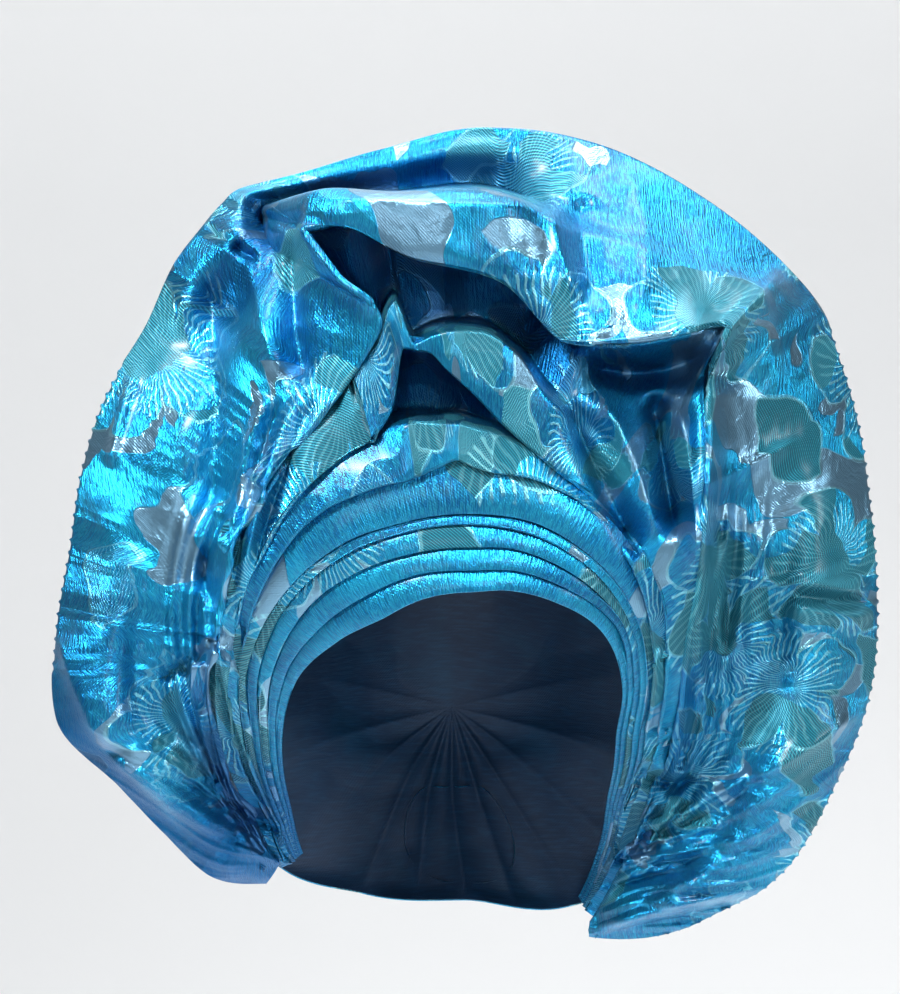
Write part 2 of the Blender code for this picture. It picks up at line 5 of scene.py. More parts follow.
import bpy
import numpy as np
from bpy.props import FloatProperty, FloatVectorProperty
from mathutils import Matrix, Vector


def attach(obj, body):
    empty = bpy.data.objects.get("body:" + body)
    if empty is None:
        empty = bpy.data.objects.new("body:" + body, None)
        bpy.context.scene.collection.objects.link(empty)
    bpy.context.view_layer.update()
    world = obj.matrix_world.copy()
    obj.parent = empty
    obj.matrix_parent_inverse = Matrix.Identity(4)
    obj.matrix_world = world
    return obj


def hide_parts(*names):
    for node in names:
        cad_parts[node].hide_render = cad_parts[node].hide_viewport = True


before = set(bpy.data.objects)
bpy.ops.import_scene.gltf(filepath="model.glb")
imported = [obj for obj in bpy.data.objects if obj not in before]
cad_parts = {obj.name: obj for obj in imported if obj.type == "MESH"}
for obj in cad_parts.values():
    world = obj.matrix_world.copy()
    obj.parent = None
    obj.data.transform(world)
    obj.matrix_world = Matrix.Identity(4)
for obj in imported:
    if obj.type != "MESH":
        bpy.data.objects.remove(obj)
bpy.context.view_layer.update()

bl_info = {
    "name": "Tied Head Wrap",
    "version": (1, 0, 0),
    "blender": (4, 5, 0),
    "location": "3D View > Sidebar > Head Wrap",
    "description": "Builds the folded, gathered cloth of a tied head wrap and its studio",
    "category": "Object",
}

BODY = "root"

# Sizes that the folds follow, in metres
LAYER = 0.0019
HEAD_HALF_WIDTH = 0.0735
HEAD_DEPTH = 0.090
CROWN_HEIGHT = 0.106
NAPE_DROP = 0.092
OCCIPUT = 0.098
OCCIPUT_RISE = 0.010
FOLD_CENTRE = 0.006
FAN_RADIUS = 0.264
TUCK = 0.0045
SHEET_WALL = 0.0007
SHEET_FIRST = -126
SHEET_LAST = 145

MILLIMETRE = 0.001

# How the pleats and folds swell between their edges, and how many rows and columns draw them
PLEAT_SWELL = 0.0012
PLEAT_PUFF = 0.10
PLEAT_RIPPLE = 0.00035
FOLD_LIFT = 0.0034
FOLD_SWELL = 0.0035
CREST_DROP = 0.008
PLEAT_UNDER = 0.004
FOLD_UNDER = 0.006
FAN_UNDER = 0.008
FAN_EDGE = 0.0016
PLEAT_ROWS = 12
PLEAT_COLUMNS = 560
FOLD_ROWS = 64
FOLD_COLUMNS = (150, 260, 150)
FOLD_MIDDLE = (-26, 36)
FAN_COLUMNS_ACROSS = 1270
FAN_ROWS = 62
WRAP_COLUMNS = 420
WRAP_ROWS = 90
HIDDEN_RUN = 2.6

# Scale of the photograph and the seat's place in it, for the camera
PIXEL = 0.00044
SEAT_PIXEL = (452, 738)
PHOTO_SIZE = (900, 994)

BROW_COLUMNS = ("angle", "hem", "lap_1", "lap_2", "lap_3", "lap_4", "hem_depth", "lap_depth")
BROW_SECTIONS = (
    (-128, 0.353, 0.357, 0.360, 0.363, 0.367, 0.67, 0.56),
    (-110, 0.320, 0.327, 0.333, 0.342, 0.350, 0.33, 0.22),
    (-90, 0.307, 0.317, 0.328, 0.342, 0.355, -0.06, -0.16),
    (-70, 0.297, 0.317, 0.338, 0.360, 0.380, -0.40, -0.53),
    (-50, 0.267, 0.303, 0.340, 0.370, 0.384, -0.70, -0.81),
    (-30, 0.245, 0.290, 0.330, 0.365, 0.382, -0.90, -0.97),
    (-15, 0.247, 0.287, 0.322, 0.358, 0.375, -0.96, -0.99),
    (0, 0.248, 0.283, 0.320, 0.357, 0.375, -0.98, -1.00),
    (15, 0.260, 0.293, 0.327, 0.357, 0.377, -0.96, -0.99),
    (30, 0.272, 0.300, 0.327, 0.353, 0.368, -0.90, -0.96),
    (50, 0.287, 0.312, 0.325, 0.337, 0.350, -0.70, -0.80),
    (70, 0.275, 0.285, 0.295, 0.305, 0.316, -0.40, -0.53),
    (90, 0.252, 0.260, 0.269, 0.278, 0.288, -0.06, -0.17),
    (110, 0.262, 0.268, 0.275, 0.282, 0.289, 0.31, 0.20),
    (130, 0.303, 0.308, 0.313, 0.318, 0.323, 0.60, 0.49),
    (148, 0.357, 0.360, 0.363, 0.367, 0.370, 0.78, 0.67),
)
CROWN_COLUMNS = (
    "angle", "low", "low_crest", "low_depth", "low_dip", "high", "high_crest", "high_depth", "high_dip",
)
CROWN_SECTIONS = (
    (-128, 0.371, 0.373, 0.53, 0.0, 0.375, 0.378, 0.50, 0.0),
    (-110, 0.358, 0.363, 0.19, 0.0, 0.368, 0.374, 0.16, 0.0),
    (-90, 0.370, 0.378, -0.20, 0.0, 0.387, 0.396, -0.23, 0.0),
    (-70, 0.397, 0.404, -0.57, 0.0, 0.412, 0.421, -0.61, 0.0),
    (-50, 0.423, 0.435, -0.84, 0.0, 0.447, 0.465, -0.88, 0.0),
    (-30, 0.443, 0.475, -1.00, 0.0, 0.493, 0.520, -1.00, 0.0),
    (-22, 0.440, 0.505, -1.02, 0.0, 0.510, 0.560, -0.99, 0.05),
    (-17, 0.440, 0.510, -1.03, 0.1, 0.520, 0.620, -0.99, 0.60),
    (-13, 0.438, 0.525, -1.03, 0.6, 0.550, 0.655, -0.98, 1.0),
    (-9, 0.443, 0.525, -1.03, 1.0, 0.650, 0.722, -0.98, 1.0),
    (-7.2, 0.448, 0.522, -1.03, 1.0, 0.645, 0.655, -0.98, 1.0),
    (-5, 0.453, 0.518, -1.03, 1.0, 0.638, 0.662, -0.98, 1.0),
    (-2, 0.462, 0.517, -1.03, 1.0, 0.602, 0.667, -0.99, 1.0),
    (2, 0.450, 0.507, -1.03, 1.0, 0.563, 0.664, -0.99, 1.0),
    (7, 0.442, 0.497, -1.03, 0.7, 0.520, 0.636, -0.99, 1.0),
    (13, 0.442, 0.478, -1.02, 0.1, 0.488, 0.572, -0.99, 0.5),
    (20, 0.438, 0.450, -1.01, 0.0, 0.462, 0.535, -0.99, 0.2),
    (31, 0.425, 0.433, -0.98, 0.0, 0.444, 0.490, -0.97, 0.1),
    (43, 0.392, 0.405, -0.89, 0.0, 0.425, 0.455, -0.90, 0.05),
    (50, 0.376, 0.390, -0.83, 0.0, 0.406, 0.430, -0.86, 0.0),
    (63, 0.345, 0.355, -0.66, 0.0, 0.366, 0.380, -0.70, 0.0),
    (79, 0.315, 0.323, -0.39, 0.0, 0.333, 0.342, -0.43, 0.0),
    (90, 0.301, 0.309, -0.20, 0.0, 0.318, 0.326, -0.24, 0.0),
    (110, 0.298, 0.303, 0.17, 0.0, 0.309, 0.314, 0.13, 0.0),
    (130, 0.329, 0.332, 0.46, 0.0, 0.336, 0.340, 0.42, 0.0),
    (148, 0.374, 0.376, 0.64, 0.0, 0.378, 0.380, 0.60, 0.0),
)
FAN_COLUMNS = (
    "angle", "reach", "rim_angle", "rim_reach", "edge", "neck", "swell", "shoulder", "rim", "roll", "drape",
)
FAN_WAYS = (0.0, 0.15, 0.5, 0.62, 1.0)
FAN_SECTIONS = (
    (-124, 0.383, -126, 0.420, 0.42, 0.42, 0.42, 0.42, 0.46, 1, 0),
    (-112, 0.380, -119, 0.480, 0.15, 0.15, 0.08, 0.08, 0.24, 1, 0),
    (-100, 0.392, -107, 0.525, -0.08, -0.03, -0.12, -0.10, 0.08, 1, 0),
    (-90, 0.405, -97, 0.580, -0.27, -0.14, -0.25, -0.31, -0.07, 1, 0),
    (-79, 0.418, -86.7, 0.675, -0.48, -0.28, -0.34, -0.44, -0.17, 0.6, 0),
    (-70, 0.430, -76, 0.697, -0.65, -0.42, -0.42, -0.47, -0.20, 0, 0),
    (-60, 0.453, -65, 0.722, -0.80, -0.56, -0.48, -0.49, -0.22, 0, 0),
    (-50, 0.483, -55, 0.773, -0.91, -0.68, -0.54, -0.51, -0.22, 0, 0),
    (-41, 0.507, -46.6, 0.820, -0.97, -0.77, -0.60, -0.51, -0.22, 0, 0),
    (-30, 0.547, -38, 0.858, -1.02, -0.86, -0.67, -0.51, -0.22, 0.5, 0),
    (-18, 0.612, -31, 0.922, -1.04, -0.94, -0.73, -0.49, -0.22, 1, 0),
    (-11, 0.702, -27, 0.950, -1.14, -1.04, -0.70, -0.52, -0.22, 1, 1),
    (-15, 0.782, -24.5, 0.970, -1.08, -0.96, -0.60, -0.34, -0.22, 1, 1),
    (-17.2, 0.868, -22.2, 0.983, -1.00, -0.90, -0.56, -0.26, -0.24, 1, 0),
    (-13, 0.855, -16, 0.978, -1.02, -1.03, -0.94, -0.18, -0.25, 1, 0),
    (-6, 0.785, -8, 0.988, -1.03, -1.05, -0.99, -0.15, -0.26, 1, 0),
    (4, 0.748, 2, 1.013, -1.03, -1.05, -0.98, -0.18, -0.27, 1, 0),
    (14, 0.667, 12, 1.003, -1.02, -1.02, -0.82, -0.62, -0.28, 1, 0),
    (24, 0.713, 24, 0.970, -1.00, -0.96, -0.76, -0.63, -0.29, 1, 0),
    (31.5, 0.793, 34, 0.938, -0.97, -0.85, -0.68, -0.52, -0.27, 1, 0),
    (32.5, 0.717, 39, 0.920, -0.97, -0.82, -0.68, -0.55, -0.25, 0.4, 0),
    (38.7, 0.615, 45, 0.875, -0.96, -0.74, -0.62, -0.55, -0.24, 0, 0),
    (46, 0.523, 52, 0.825, -0.93, -0.66, -0.55, -0.53, -0.22, 0, 0),
    (55, 0.453, 59, 0.777, -0.86, -0.58, -0.50, -0.51, -0.22, 0, 0),
    (65, 0.392, 69, 0.727, -0.72, -0.46, -0.42, -0.49, -0.20, 0, 0),
    (79.5, 0.352, 82, 0.678, -0.46, -0.30, -0.36, -0.46, -0.18, 0, 0),
    (95, 0.332, 98, 0.613, -0.18, -0.08, -0.26, -0.38, -0.11, 0, 0),
    (110, 0.321, 112, 0.575, 0.09, 0.10, -0.08, -0.22, 0.0, 0, 0),
    (122, 0.331, 124, 0.517, 0.28, 0.26, 0.10, -0.04, 0.13, 0, 0),
    (134, 0.352, 136, 0.465, 0.44, 0.42, 0.30, 0.22, 0.29, 0, 0),
    (146, 0.384, 148, 0.404, 0.54, 0.54, 0.54, 0.54, 0.56, 0, 0),
)
NAPE_COLUMNS = ("angle", "reach", "depth")
NAPE_SECTIONS = (
    (110, 0.380, 0.28),
    (128, 0.385, 0.66),
    (150, 0.350, 0.82),
    (180, 0.290, 0.76),
    (212, 0.330, 0.80),
    (232, 0.390, 0.74),
    (250, 0.420, 0.26),
)
# Soft folds along both sides, where the fan springs from the wrap
SIDE_FOLDS = 8.5
SIDE_FOLD_HEIGHT = 0.0036
SIDE_WANDER = ((0.5, 3.1), (0.3, 7.3))
SIDE_ANGLES = ((-122, 20, -34, 16), (36, 14, 136, 20))
# Pleats that spread from the fan's lower corners: how far they slant on the way to the rim
# and their heights, then at each corner the first and last angle and the width of a pleat
CORNER_SLANT = 40
CORNER_HEIGHT = 0.0036
CORNER_FINE_HEIGHT = 0.0012
CORNER_NARROW = 0.045
RIGHT_CORNER = (84, 142, 7.5)
LEFT_CORNER = (74, 122, 9.0)
# Where shade is painted on the fan's cloth, for where it lies in shadow: where it starts and ends by angle,
# each with the width of its soft margin, the same on the way to the rim, and how dark it is.
FAN_SHADOWS = (
    (-200, 1, -66, 16, 0.66, 0.22, 2, 1, 1.0),
    (-200, 1, -88, 18, -1, 1, 2, 1, 1.0),
    (-200, 1, -62, 30, -1, 1, 0.50, 0.42, 1.0),
    (60, 20, 200, 1, -1, 1, 0.17, 0.14, 0.6),
    (-24, 6, 12, 8, 0.55, 0.05, 0.86, 0.08, 0.7),
)
# Painted shade: the largest share of navy painted where the cloth lies deepest in shadow.
DEEPEST = 0.85
# The lamps: name, place, where it points, size, power and spread
MIDDLE = (0.0, 0.0, 0.10)
LAMPS = (
    ("key", (-1.05, -1.35, 1.40), MIDDLE, (0.42, 0.30), 6.6, 50),
    ("front", (0.55, -2.2, 0.35), MIDDLE, (0.30, 0.55), 0.45, 50),
    ("left strip", (-0.35, -2.2, 0.0), MIDDLE, (0.10, 0.9), 0.5, 50),
    ("right strip", (1.5, -0.9, 0.4), MIDDLE, (0.10, 1.2), 1.6, 50),
    ("top", (0.2, -0.2, 1.6), MIDDLE, (0.8, 0.3), 1.5, 50),
    ("backdrop wash", (0.0, 0.7, 2.6), (0.0, 2.2, 0.2), (3.0, 0.5), 82, 180),
)
# The sweep of paper: how far it runs to the front, back and sides, its bend and its height
SWEEP_FRONT = -9.0
SWEEP_BACK = 1.6
SWEEP_SIDE = 9.0
SWEEP_BEND = 0.8
SWEEP_HEIGHT = 3.6
# Creases pressed into the layers: three places on each as shares of FAN_RADIUS from the
# middle of the folds, then in millimetres the widths of the slopes on its left and right
# on the way from the first place to the last, and its height, less than zero for a valley.
CREASE_COLUMNS = ("x1", "z1", "x2", "z2", "x3", "z3", "left", "right", "height")
CREASES = (
    (-0.252, 0.880, -0.060, 0.872, 0.140, 0.865, 4, 14, 4),
    (0.140, 0.900, 0.148, 0.810, 0.190, 0.697, 8, 5, 6),
    (0.190, 0.900, 0.190, 0.810, 0.215, 0.697, 6, 10, -6),
    (0.257, 0.955, 0.290, 0.813, 0.265, 0.663, 10, 12, 4),
    (0.157, 0.643, 0.290, 0.648, 0.417, 0.680, 14, 3, 8),
    (0.182, 0.625, 0.290, 0.604, 0.398, 0.640, 5, 9, -18),
    (0.527, 0.780, 0.448, 0.700, 0.390, 0.627, 14, 3, 7),
    (0.390, 0.600, 0.385, 0.480, 0.373, 0.280, 16, 3, 6),
    (0.335, 0.563, 0.360, 0.430, 0.368, 0.263, 6, 5, 9),
    (0.300, 0.575, 0.318, 0.470, 0.340, 0.330, 6, 5, -16),
    (0.207, 0.572, 0.265, 0.463, 0.307, 0.330, 6, 5, 7),
    (0.160, 0.560, 0.218, 0.430, 0.285, 0.300, 5, 4, -12),
    (0.453, 0.263, 0.565, 0.258, 0.677, 0.243, 4, 3, 3),
    (0.515, 0.233, 0.598, 0.210, 0.680, 0.210, 3, 7, 4),
    (0.532, 0.243, 0.598, 0.233, 0.670, 0.230, 3, 3, -3),
    (0.663, 0.057, 0.540, -0.023, 0.465, -0.062, 3, 8, 5),
    (0.480, -0.055, 0.390, -0.095, 0.323, -0.123, 3, 6, 4),
    (0.435, 0.397, 0.398, 0.230, 0.365, 0.080, 3, 4, 4),
    (0.465, 0.388, 0.453, 0.230, 0.407, 0.080, 7, 3, 4),
    (0.357, 0.413, 0.448, 0.447, 0.548, 0.500, 4, 4, 3),
    (0.317, 0.163, 0.290, 0.063, 0.290, -0.012, 8, 3, 6),
    (0.285, -0.017, 0.332, -0.050, 0.373, -0.050, 10, 3, 5),
    (0.290, -0.045, 0.337, -0.073, 0.398, -0.062, 3, 6, -7),
    (0.220, -0.312, 0.307, -0.262, 0.423, -0.217, 3, 5, 4),
    (0.223, -0.278, 0.307, -0.212, 0.415, -0.162, 3, 5, 4),
    (0.228, -0.237, 0.290, -0.167, 0.373, -0.112, 3, 4, 4),
    (0.223, -0.258, 0.307, -0.237, 0.415, -0.187, 3, 3, -4),
    (0.223, -0.333, 0.357, -0.278, 0.540, -0.237, 3, 4, 4),
    (0.223, -0.345, 0.340, -0.305, 0.480, -0.275, 3, 5, -4),
    (-0.282, 0.833, -0.277, 0.697, -0.257, 0.572, 4, 6, -8),
    (-0.350, 0.870, -0.300, 0.850, -0.262, 0.838, 5, 5, -10),
    (-0.255, 0.825, -0.198, 0.747, -0.137, 0.690, 3, 12, 3),
    (-0.372, 0.880, -0.342, 0.730, -0.297, 0.572, 8, 6, 5),
    (-0.383, 0.822, -0.360, 0.800, -0.340, 0.793, 3, 3, -5),
    (-0.435, 0.805, -0.407, 0.563, -0.430, 0.330, 9, 9, -7),
    (-0.430, 0.340, -0.420, 0.230, -0.400, 0.147, 5, 3, -6),
    (-0.538, 0.632, -0.570, 0.520, -0.585, 0.445, 3, 3, 3),
    (-0.452, 0.280, -0.410, 0.205, -0.407, 0.163, 3, 10, 5),
    (-0.407, 0.173, -0.427, 0.055, -0.433, -0.067, 3, 10, 6),
    (-0.412, 0.158, -0.455, 0.130, -0.502, 0.100, 6, 2, -4),
    (-0.675, 0.188, -0.637, 0.072, -0.580, -0.030, 14, 3, 5),
    (-0.595, -0.015, -0.502, -0.098, -0.380, -0.180, 14, 3, 6),
    (-0.395, -0.170, -0.335, -0.203, -0.288, -0.225, 8, 3, 4),
    (-0.477, -0.057, -0.390, -0.117, -0.302, -0.167, 4, 4, -6),
    (-0.318, 0.572, -0.360, 0.445, -0.393, 0.230, 3, 3, 4),
    (-0.293, 0.563, -0.337, 0.447, -0.380, 0.230, 2, 2, -4),
    (-0.267, 0.567, -0.313, 0.455, -0.367, 0.247, 3, 3, 4),
    (-0.240, 0.563, -0.290, 0.447, -0.357, 0.247, 3, 3, -3),
    (-0.393, 0.240, -0.385, 0.050, -0.290, -0.180, 3, 3, 3),
    (-0.372, 0.240, -0.355, 0.063, -0.268, -0.153, 3, 3, -3),
)
CREASE_STEPS = 16
CREASE_END = 0.2
CREASE_GAIN = 1.7
FAN_LIP_ROWS = 6
JOIN_WAY = 0.66
JOIN_LOW_WAY = 0.07
JOIN_GAP = 0.0064
JOIN_ROWS = 41
JOIN_FIRST = -98
JOIN_LAST = 98


def by_name(columns, rows):
    """The columns of a table, by their names."""
    return dict(zip(columns, np.array(rows, float).T))


BROW = by_name(BROW_COLUMNS, BROW_SECTIONS)
CROWN = by_name(CROWN_COLUMNS, CROWN_SECTIONS)
FAN = by_name(FAN_COLUMNS, FAN_SECTIONS)
NAPE = by_name(NAPE_COLUMNS, NAPE_SECTIONS)


def smooth(places, values, at):
    """Monotone cubic interpolation: passes through every value and never overshoots."""
    places, values, at = (np.asarray(item, float) for item in (places, values, at))
    step = np.diff(places)
    slope = np.diff(values) / step
    before, after = slope[:-1], slope[1:]
    with np.errstate(divide="ignore", invalid="ignore"):
        mean = np.where(before * after > 0, 2 * before * after / (before + after), 0.0)
    tangent = np.concatenate([slope[:1], mean, slope[-1:]])
    index = np.clip(np.searchsorted(places, at, side="right") - 1, 0, len(step) - 1)
    t = np.clip((at - places[index]) / step[index], 0.0, 1.0)
    lift = (2 * t**3 - 3 * t**2 + 1) * values[index] + (3 * t**2 - 2 * t**3) * values[index + 1]
    lean = (t**3 - 2 * t**2 + t) * tangent[index] + (t**3 - t**2) * tangent[index + 1]
    return lift + lean * step[index]


def ease(t):
    """From 0 to 1 with a smooth start and end."""
    t = np.clip(t, 0.0, 1.0)
    return t * t * (3 - 2 * t)


def window(value, start, rise, end, fall):
    """0 up to start and from end on, 1 in the middle, and smooth over the lengths rise and fall."""
    return ease((value - start) / rise) * ease((end - value) / fall)


def polar(angle, reach, depth):
    """Points at an angle from straight up and a reach from the middle of the folds."""
    turn = np.radians(angle)
    return np.stack([FOLD_CENTRE + reach * np.sin(turn), depth + 0 * reach, reach * np.cos(turn)], axis=-1)


def normals_of(grid):
    """Unit normals of a grid of points, on the side that faces the viewer of the front."""
    normal = np.cross(np.gradient(grid, axis=1), np.gradient(grid, axis=0))
    return normal / np.maximum(np.linalg.norm(normal, axis=-1, keepdims=True), 1e-12)


LATTICE = np.random.default_rng(7).random((32, 32, 32))


def cloud(points, cell, seed=0):
    """Smooth noise from 0 to 1 that changes over one cell, in metres."""
    place = points / cell + 57.31 * (seed + 1)
    base = np.floor(place).astype(int)
    part = place - base
    part = part * part * (3 - 2 * part)
    total = 0.0
    for corner in range(8):
        pick = np.array([corner >> 2 & 1, corner >> 1 & 1, corner & 1])
        at = (base + pick) % 32
        weight = np.prod(np.where(pick, part, 1 - part), axis=-1)
        total = total + weight * LATTICE[at[..., 0], at[..., 1], at[..., 2]]
    return total


def crumple(points, cell, seed=0):
    """Creases from -1 to 1: sharp ridges between smooth dents."""
    first = 1 - np.abs(2 * cloud(points, cell, seed) - 1) ** 0.8 * 2
    second = 1 - np.abs(2 * cloud(points, cell * 0.47, seed + 3) - 1) ** 0.8 * 2
    return first * 0.65 + second * 0.35


def pressed(grid):
    """The grid with every crease of the table pressed into it, towards or away from the viewer."""
    across = (grid[..., 0] - FOLD_CENTRE) / FAN_RADIUS
    up = grid[..., 2] / FAN_RADIUS
    relief = np.zeros(across.shape)
    t = np.linspace(0, 1, CREASE_STEPS + 1)[:, None]
    for crease in CREASES:
        start, middle, end = (np.array(crease[k:k + 2]) for k in (0, 2, 4))
        left, right, height = (value * MILLIMETRE for value in crease[6:])
        pull = 2 * middle - (start + end) / 2
        curve = (1 - t) ** 2 * start + 2 * t * (1 - t) * pull + t**2 * end
        margin = 3 * max(left, right) / FAN_RADIUS
        low, high = curve.min(axis=0) - margin, curve.max(axis=0) + margin
        near = (across > low[0]) & (across < high[0]) & (up > low[1]) & (up < high[1])
        if not near.any():
            continue
        place = np.stack([across[near], up[near]], axis=-1)
        best = np.full(len(place), np.inf)
        side, way = np.zeros(len(place)), np.zeros(len(place))
        for step in range(CREASE_STEPS):
            run = curve[step + 1] - curve[step]
            offset = place - curve[step]
            share = np.clip(offset @ run / (run @ run), 0, 1)
            gap = np.linalg.norm(offset - share[:, None] * run, axis=1)
            closer = gap < best
            best = np.where(closer, gap, best)
            side = np.where(closer, run[0] * offset[:, 1] - run[1] * offset[:, 0], side)
            way = np.where(closer, (step + share) / CREASE_STEPS, way)
        slope = np.abs(best) * FAN_RADIUS / np.where(side > 0, left, right)
        ends = ease(way / CREASE_END) * ease((1 - way) / CREASE_END)
        relief[near] += CREASE_GAIN * height * np.exp(-(slope**1.3)) * ends
    shaped = grid.copy()
    shaped[..., 1] -= relief
    return shaped


def edge_lines(angle):
    """Reach and depth of the lower edge of every layer, hem first, fan last, at each angle."""
    laps = ("hem", "lap_1", "lap_2", "lap_3", "lap_4")
    first, last = (smooth(BROW["angle"], BROW[name], angle) for name in ("hem_depth", "lap_depth"))
    reach = [smooth(BROW["angle"], BROW[lap], angle) for lap in laps]
    depth = [first + (last - first) * order / (len(laps) - 1) for order in range(len(laps))]
    for fold in ("low", "high"):
        reach.append(smooth(CROWN["angle"], CROWN[fold], angle))
        depth.append(smooth(CROWN["angle"], CROWN[fold + "_depth"], angle))
    seated = {name: values[FAN["drape"] == 0] for name, values in FAN.items()}
    inner, rim = seated["reach"], seated["rim_reach"]
    for way, name in zip(FAN_WAYS, ("edge", "neck")):
        reach.append(smooth(seated["angle"], inner + (rim - inner) * way, angle))
        depth.append(smooth(seated["angle"], seated[name], angle))
    return np.array(reach) * FAN_RADIUS, np.array(depth) * HEAD_DEPTH


def layer_grid(order, angle, rises, lift, swell, run_on=0.0):
    """Points of one pleat or fold, from its lower edge up to the next edge and on behind it."""
    reach, depth = edge_lines(angle)
    start, end, after = (reach[order + k] for k in range(3))
    width = np.maximum(end - start, 1e-6)
    tuck = np.minimum(TUCK / np.maximum(after - end, 1e-6), 0.55)
    tuck = tuck + run_on
    rise = np.asarray(rises)[:, None]
    face = np.clip(rise, 0, 1)
    behind = tuck * np.clip(rise - 1, 0, 1)
    places = start + width * face + (after - end) * behind
    lie = depth[order] + (depth[order + 1] - depth[order]) * face
    lie = lie + (depth[order + 2] - depth[order + 1]) * behind
    lie = lie - swell * np.sin(math.pi * face) * ease(width / 0.02 - 0.6)
    height = lift * (1 - face) - LAYER * behind * 1.3
    grid = polar(angle[None, :] + 0 * places, places, lie)
    return grid + normals_of(grid) * height[..., None], places


def fold_under(grid, radius, depth):
    """Puts the rounded lower edge of a fold, and the layer behind it, before the grid's first row."""
    normal = normals_of(grid)[0]
    rise = grid[1] - grid[0]
    rise = rise / np.maximum(np.linalg.norm(rise, axis=-1, keepdims=True), 1e-9)
    rows = [grid[0] + rise * reach - normal * 2 * radius for reach in np.linspace(depth, radius * 1.2, 3)]
    for turn in np.radians(np.linspace(165, 15, 6)):
        round_edge = radius * (normal * math.cos(turn) - rise * math.sin(turn))
        rows.append(grid[0] + (rise - normal) * radius + round_edge)
    start = grid[0] + rise * radius
    following = grid.copy()
    following[0] = start
    return np.concatenate([np.array(rows), following])


def lengths(points):
    """Real length from the first point to each one, along the first axis."""
    steps = np.linalg.norm(np.diff(points, axis=0), axis=-1)
    return np.concatenate([np.zeros_like(steps[:1]), np.cumsum(steps, axis=0)])


def cloth_map(grid, shift=(0.0, 0.0), shadow=0.0):
    """Flat cloth coordinates of a grid: real lengths along the middle row and along each column,
    and as a third number how much painted shade the cloth carries, for how deep in shadow it lies."""
    flat = np.zeros(grid.shape)
    flat[..., 0] = lengths(grid[len(grid) // 2]) + shift[0]
    flat[..., 1] = lengths(grid) + shift[1]
    flat[..., 2] = shadow
    return flat


def side_shadow(angle):
    """Painted shade: how dark the cloth is painted where its pleats press together low at both sides."""
    return 0.75 * ease((-84 - angle) / 26) + 0.5 * ease((angle - 96) / 30)


def sheet_piece(name, grid, flat, materials, closed=False, thickness=0.0, pole=None):
    """A mesh object through a grid of points, with its flat cloth coordinates as an attribute."""
    rows, columns = grid.shape[:2]
    across = np.arange(columns if closed else columns - 1)
    low = (np.arange(rows - 1)[:, None] * columns + across[None, :]).ravel()
    step = (np.arange(rows - 1)[:, None] * columns + (across + 1)[None, :] % columns).ravel()
    faces = np.stack([low, step, step + columns, low + columns], axis=1)
    mesh = bpy.data.meshes.new(name)
    points, faces, flat = grid.reshape(-1, 3).tolist(), faces.tolist(), flat.reshape(-1, 3)
    if pole is not None:
        last = (rows - 1) * columns
        faces += [(last + col, last + (col + 1) % columns, len(points)) for col in range(columns)]
        points.append(pole)
        flat = np.concatenate([flat, flat[-1:]])
    mesh.from_pydata(points, [], faces)
    for material in materials:
        mesh.materials.append(material)
    store = mesh.attributes.new("cloth", "FLOAT_VECTOR", "POINT")
    store.data.foreach_set("vector", np.ascontiguousarray(flat, np.float32).ravel())
    mesh.shade_smooth()
    piece = bpy.data.objects.new(name, mesh)
    bpy.context.scene.collection.objects.link(piece)
    if thickness:
        wall = piece.modifiers.new("Wall", "SOLIDIFY")
        wall.thickness = thickness
        wall.offset = -1.0
        wall.material_offset = len(materials) - 1
    return piece


def declare(piece, grid, node):
    """Attaches the sheet to the body and hides the model's part that it stands for; the size that it was cut
    to is worked out but not passed on.
    """
    along, up = np.diff(grid, axis=1), np.diff(grid, axis=0)
    width = float(np.linalg.norm(along, axis=2).sum(axis=1).max())
    length = float(np.linalg.norm(up, axis=2).sum(axis=0).mean())
    area = float(np.linalg.norm(np.cross(along[:-1], up[:, :-1]), axis=2).sum())
    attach(piece, BODY)
    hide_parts(node)
    flat = (round(width, 3), round(length, 3))
    area = round(min(area, flat[0] * flat[1]), 5)


def maths(operation, swapped=False):
    """A method of Wire that adds one maths node."""

    def method(self, *others):
        values = (*others, self) if swapped else (self, *others)
        return self.shader.node("ShaderNodeMath", {"operation": operation}, dict(enumerate(values)))

    return method


class Wire:
    """A shader socket that can be used in sums, products and comparisons."""

    __add__ = maths("ADD")
    __radd__ = maths("ADD", True)
    __sub__ = maths("SUBTRACT")
    __rsub__ = maths("SUBTRACT", True)
    __mul__ = maths("MULTIPLY")
    __rmul__ = maths("MULTIPLY", True)
    __truediv__ = maths("DIVIDE")
    __gt__ = maths("GREATER_THAN")
    __abs__ = maths("ABSOLUTE")
    sine = maths("SINE")
    cosine = maths("COSINE")
    power = maths("POWER")
    most = maths("MAXIMUM")
    turn_from = maths("ARCTAN2")

    def __init__(self, shader, socket):
        self.shader = shader
        self.socket = socket

    def ramp(self, low, high):
        """0 below low, 1 above high, and smooth between."""
        settings = {"interpolation_type": "SMOOTHSTEP"}
        sockets = {"Value": self, "From Min": low, "From Max": high}
        return self.shader.node("ShaderNodeMapRange", settings, sockets)


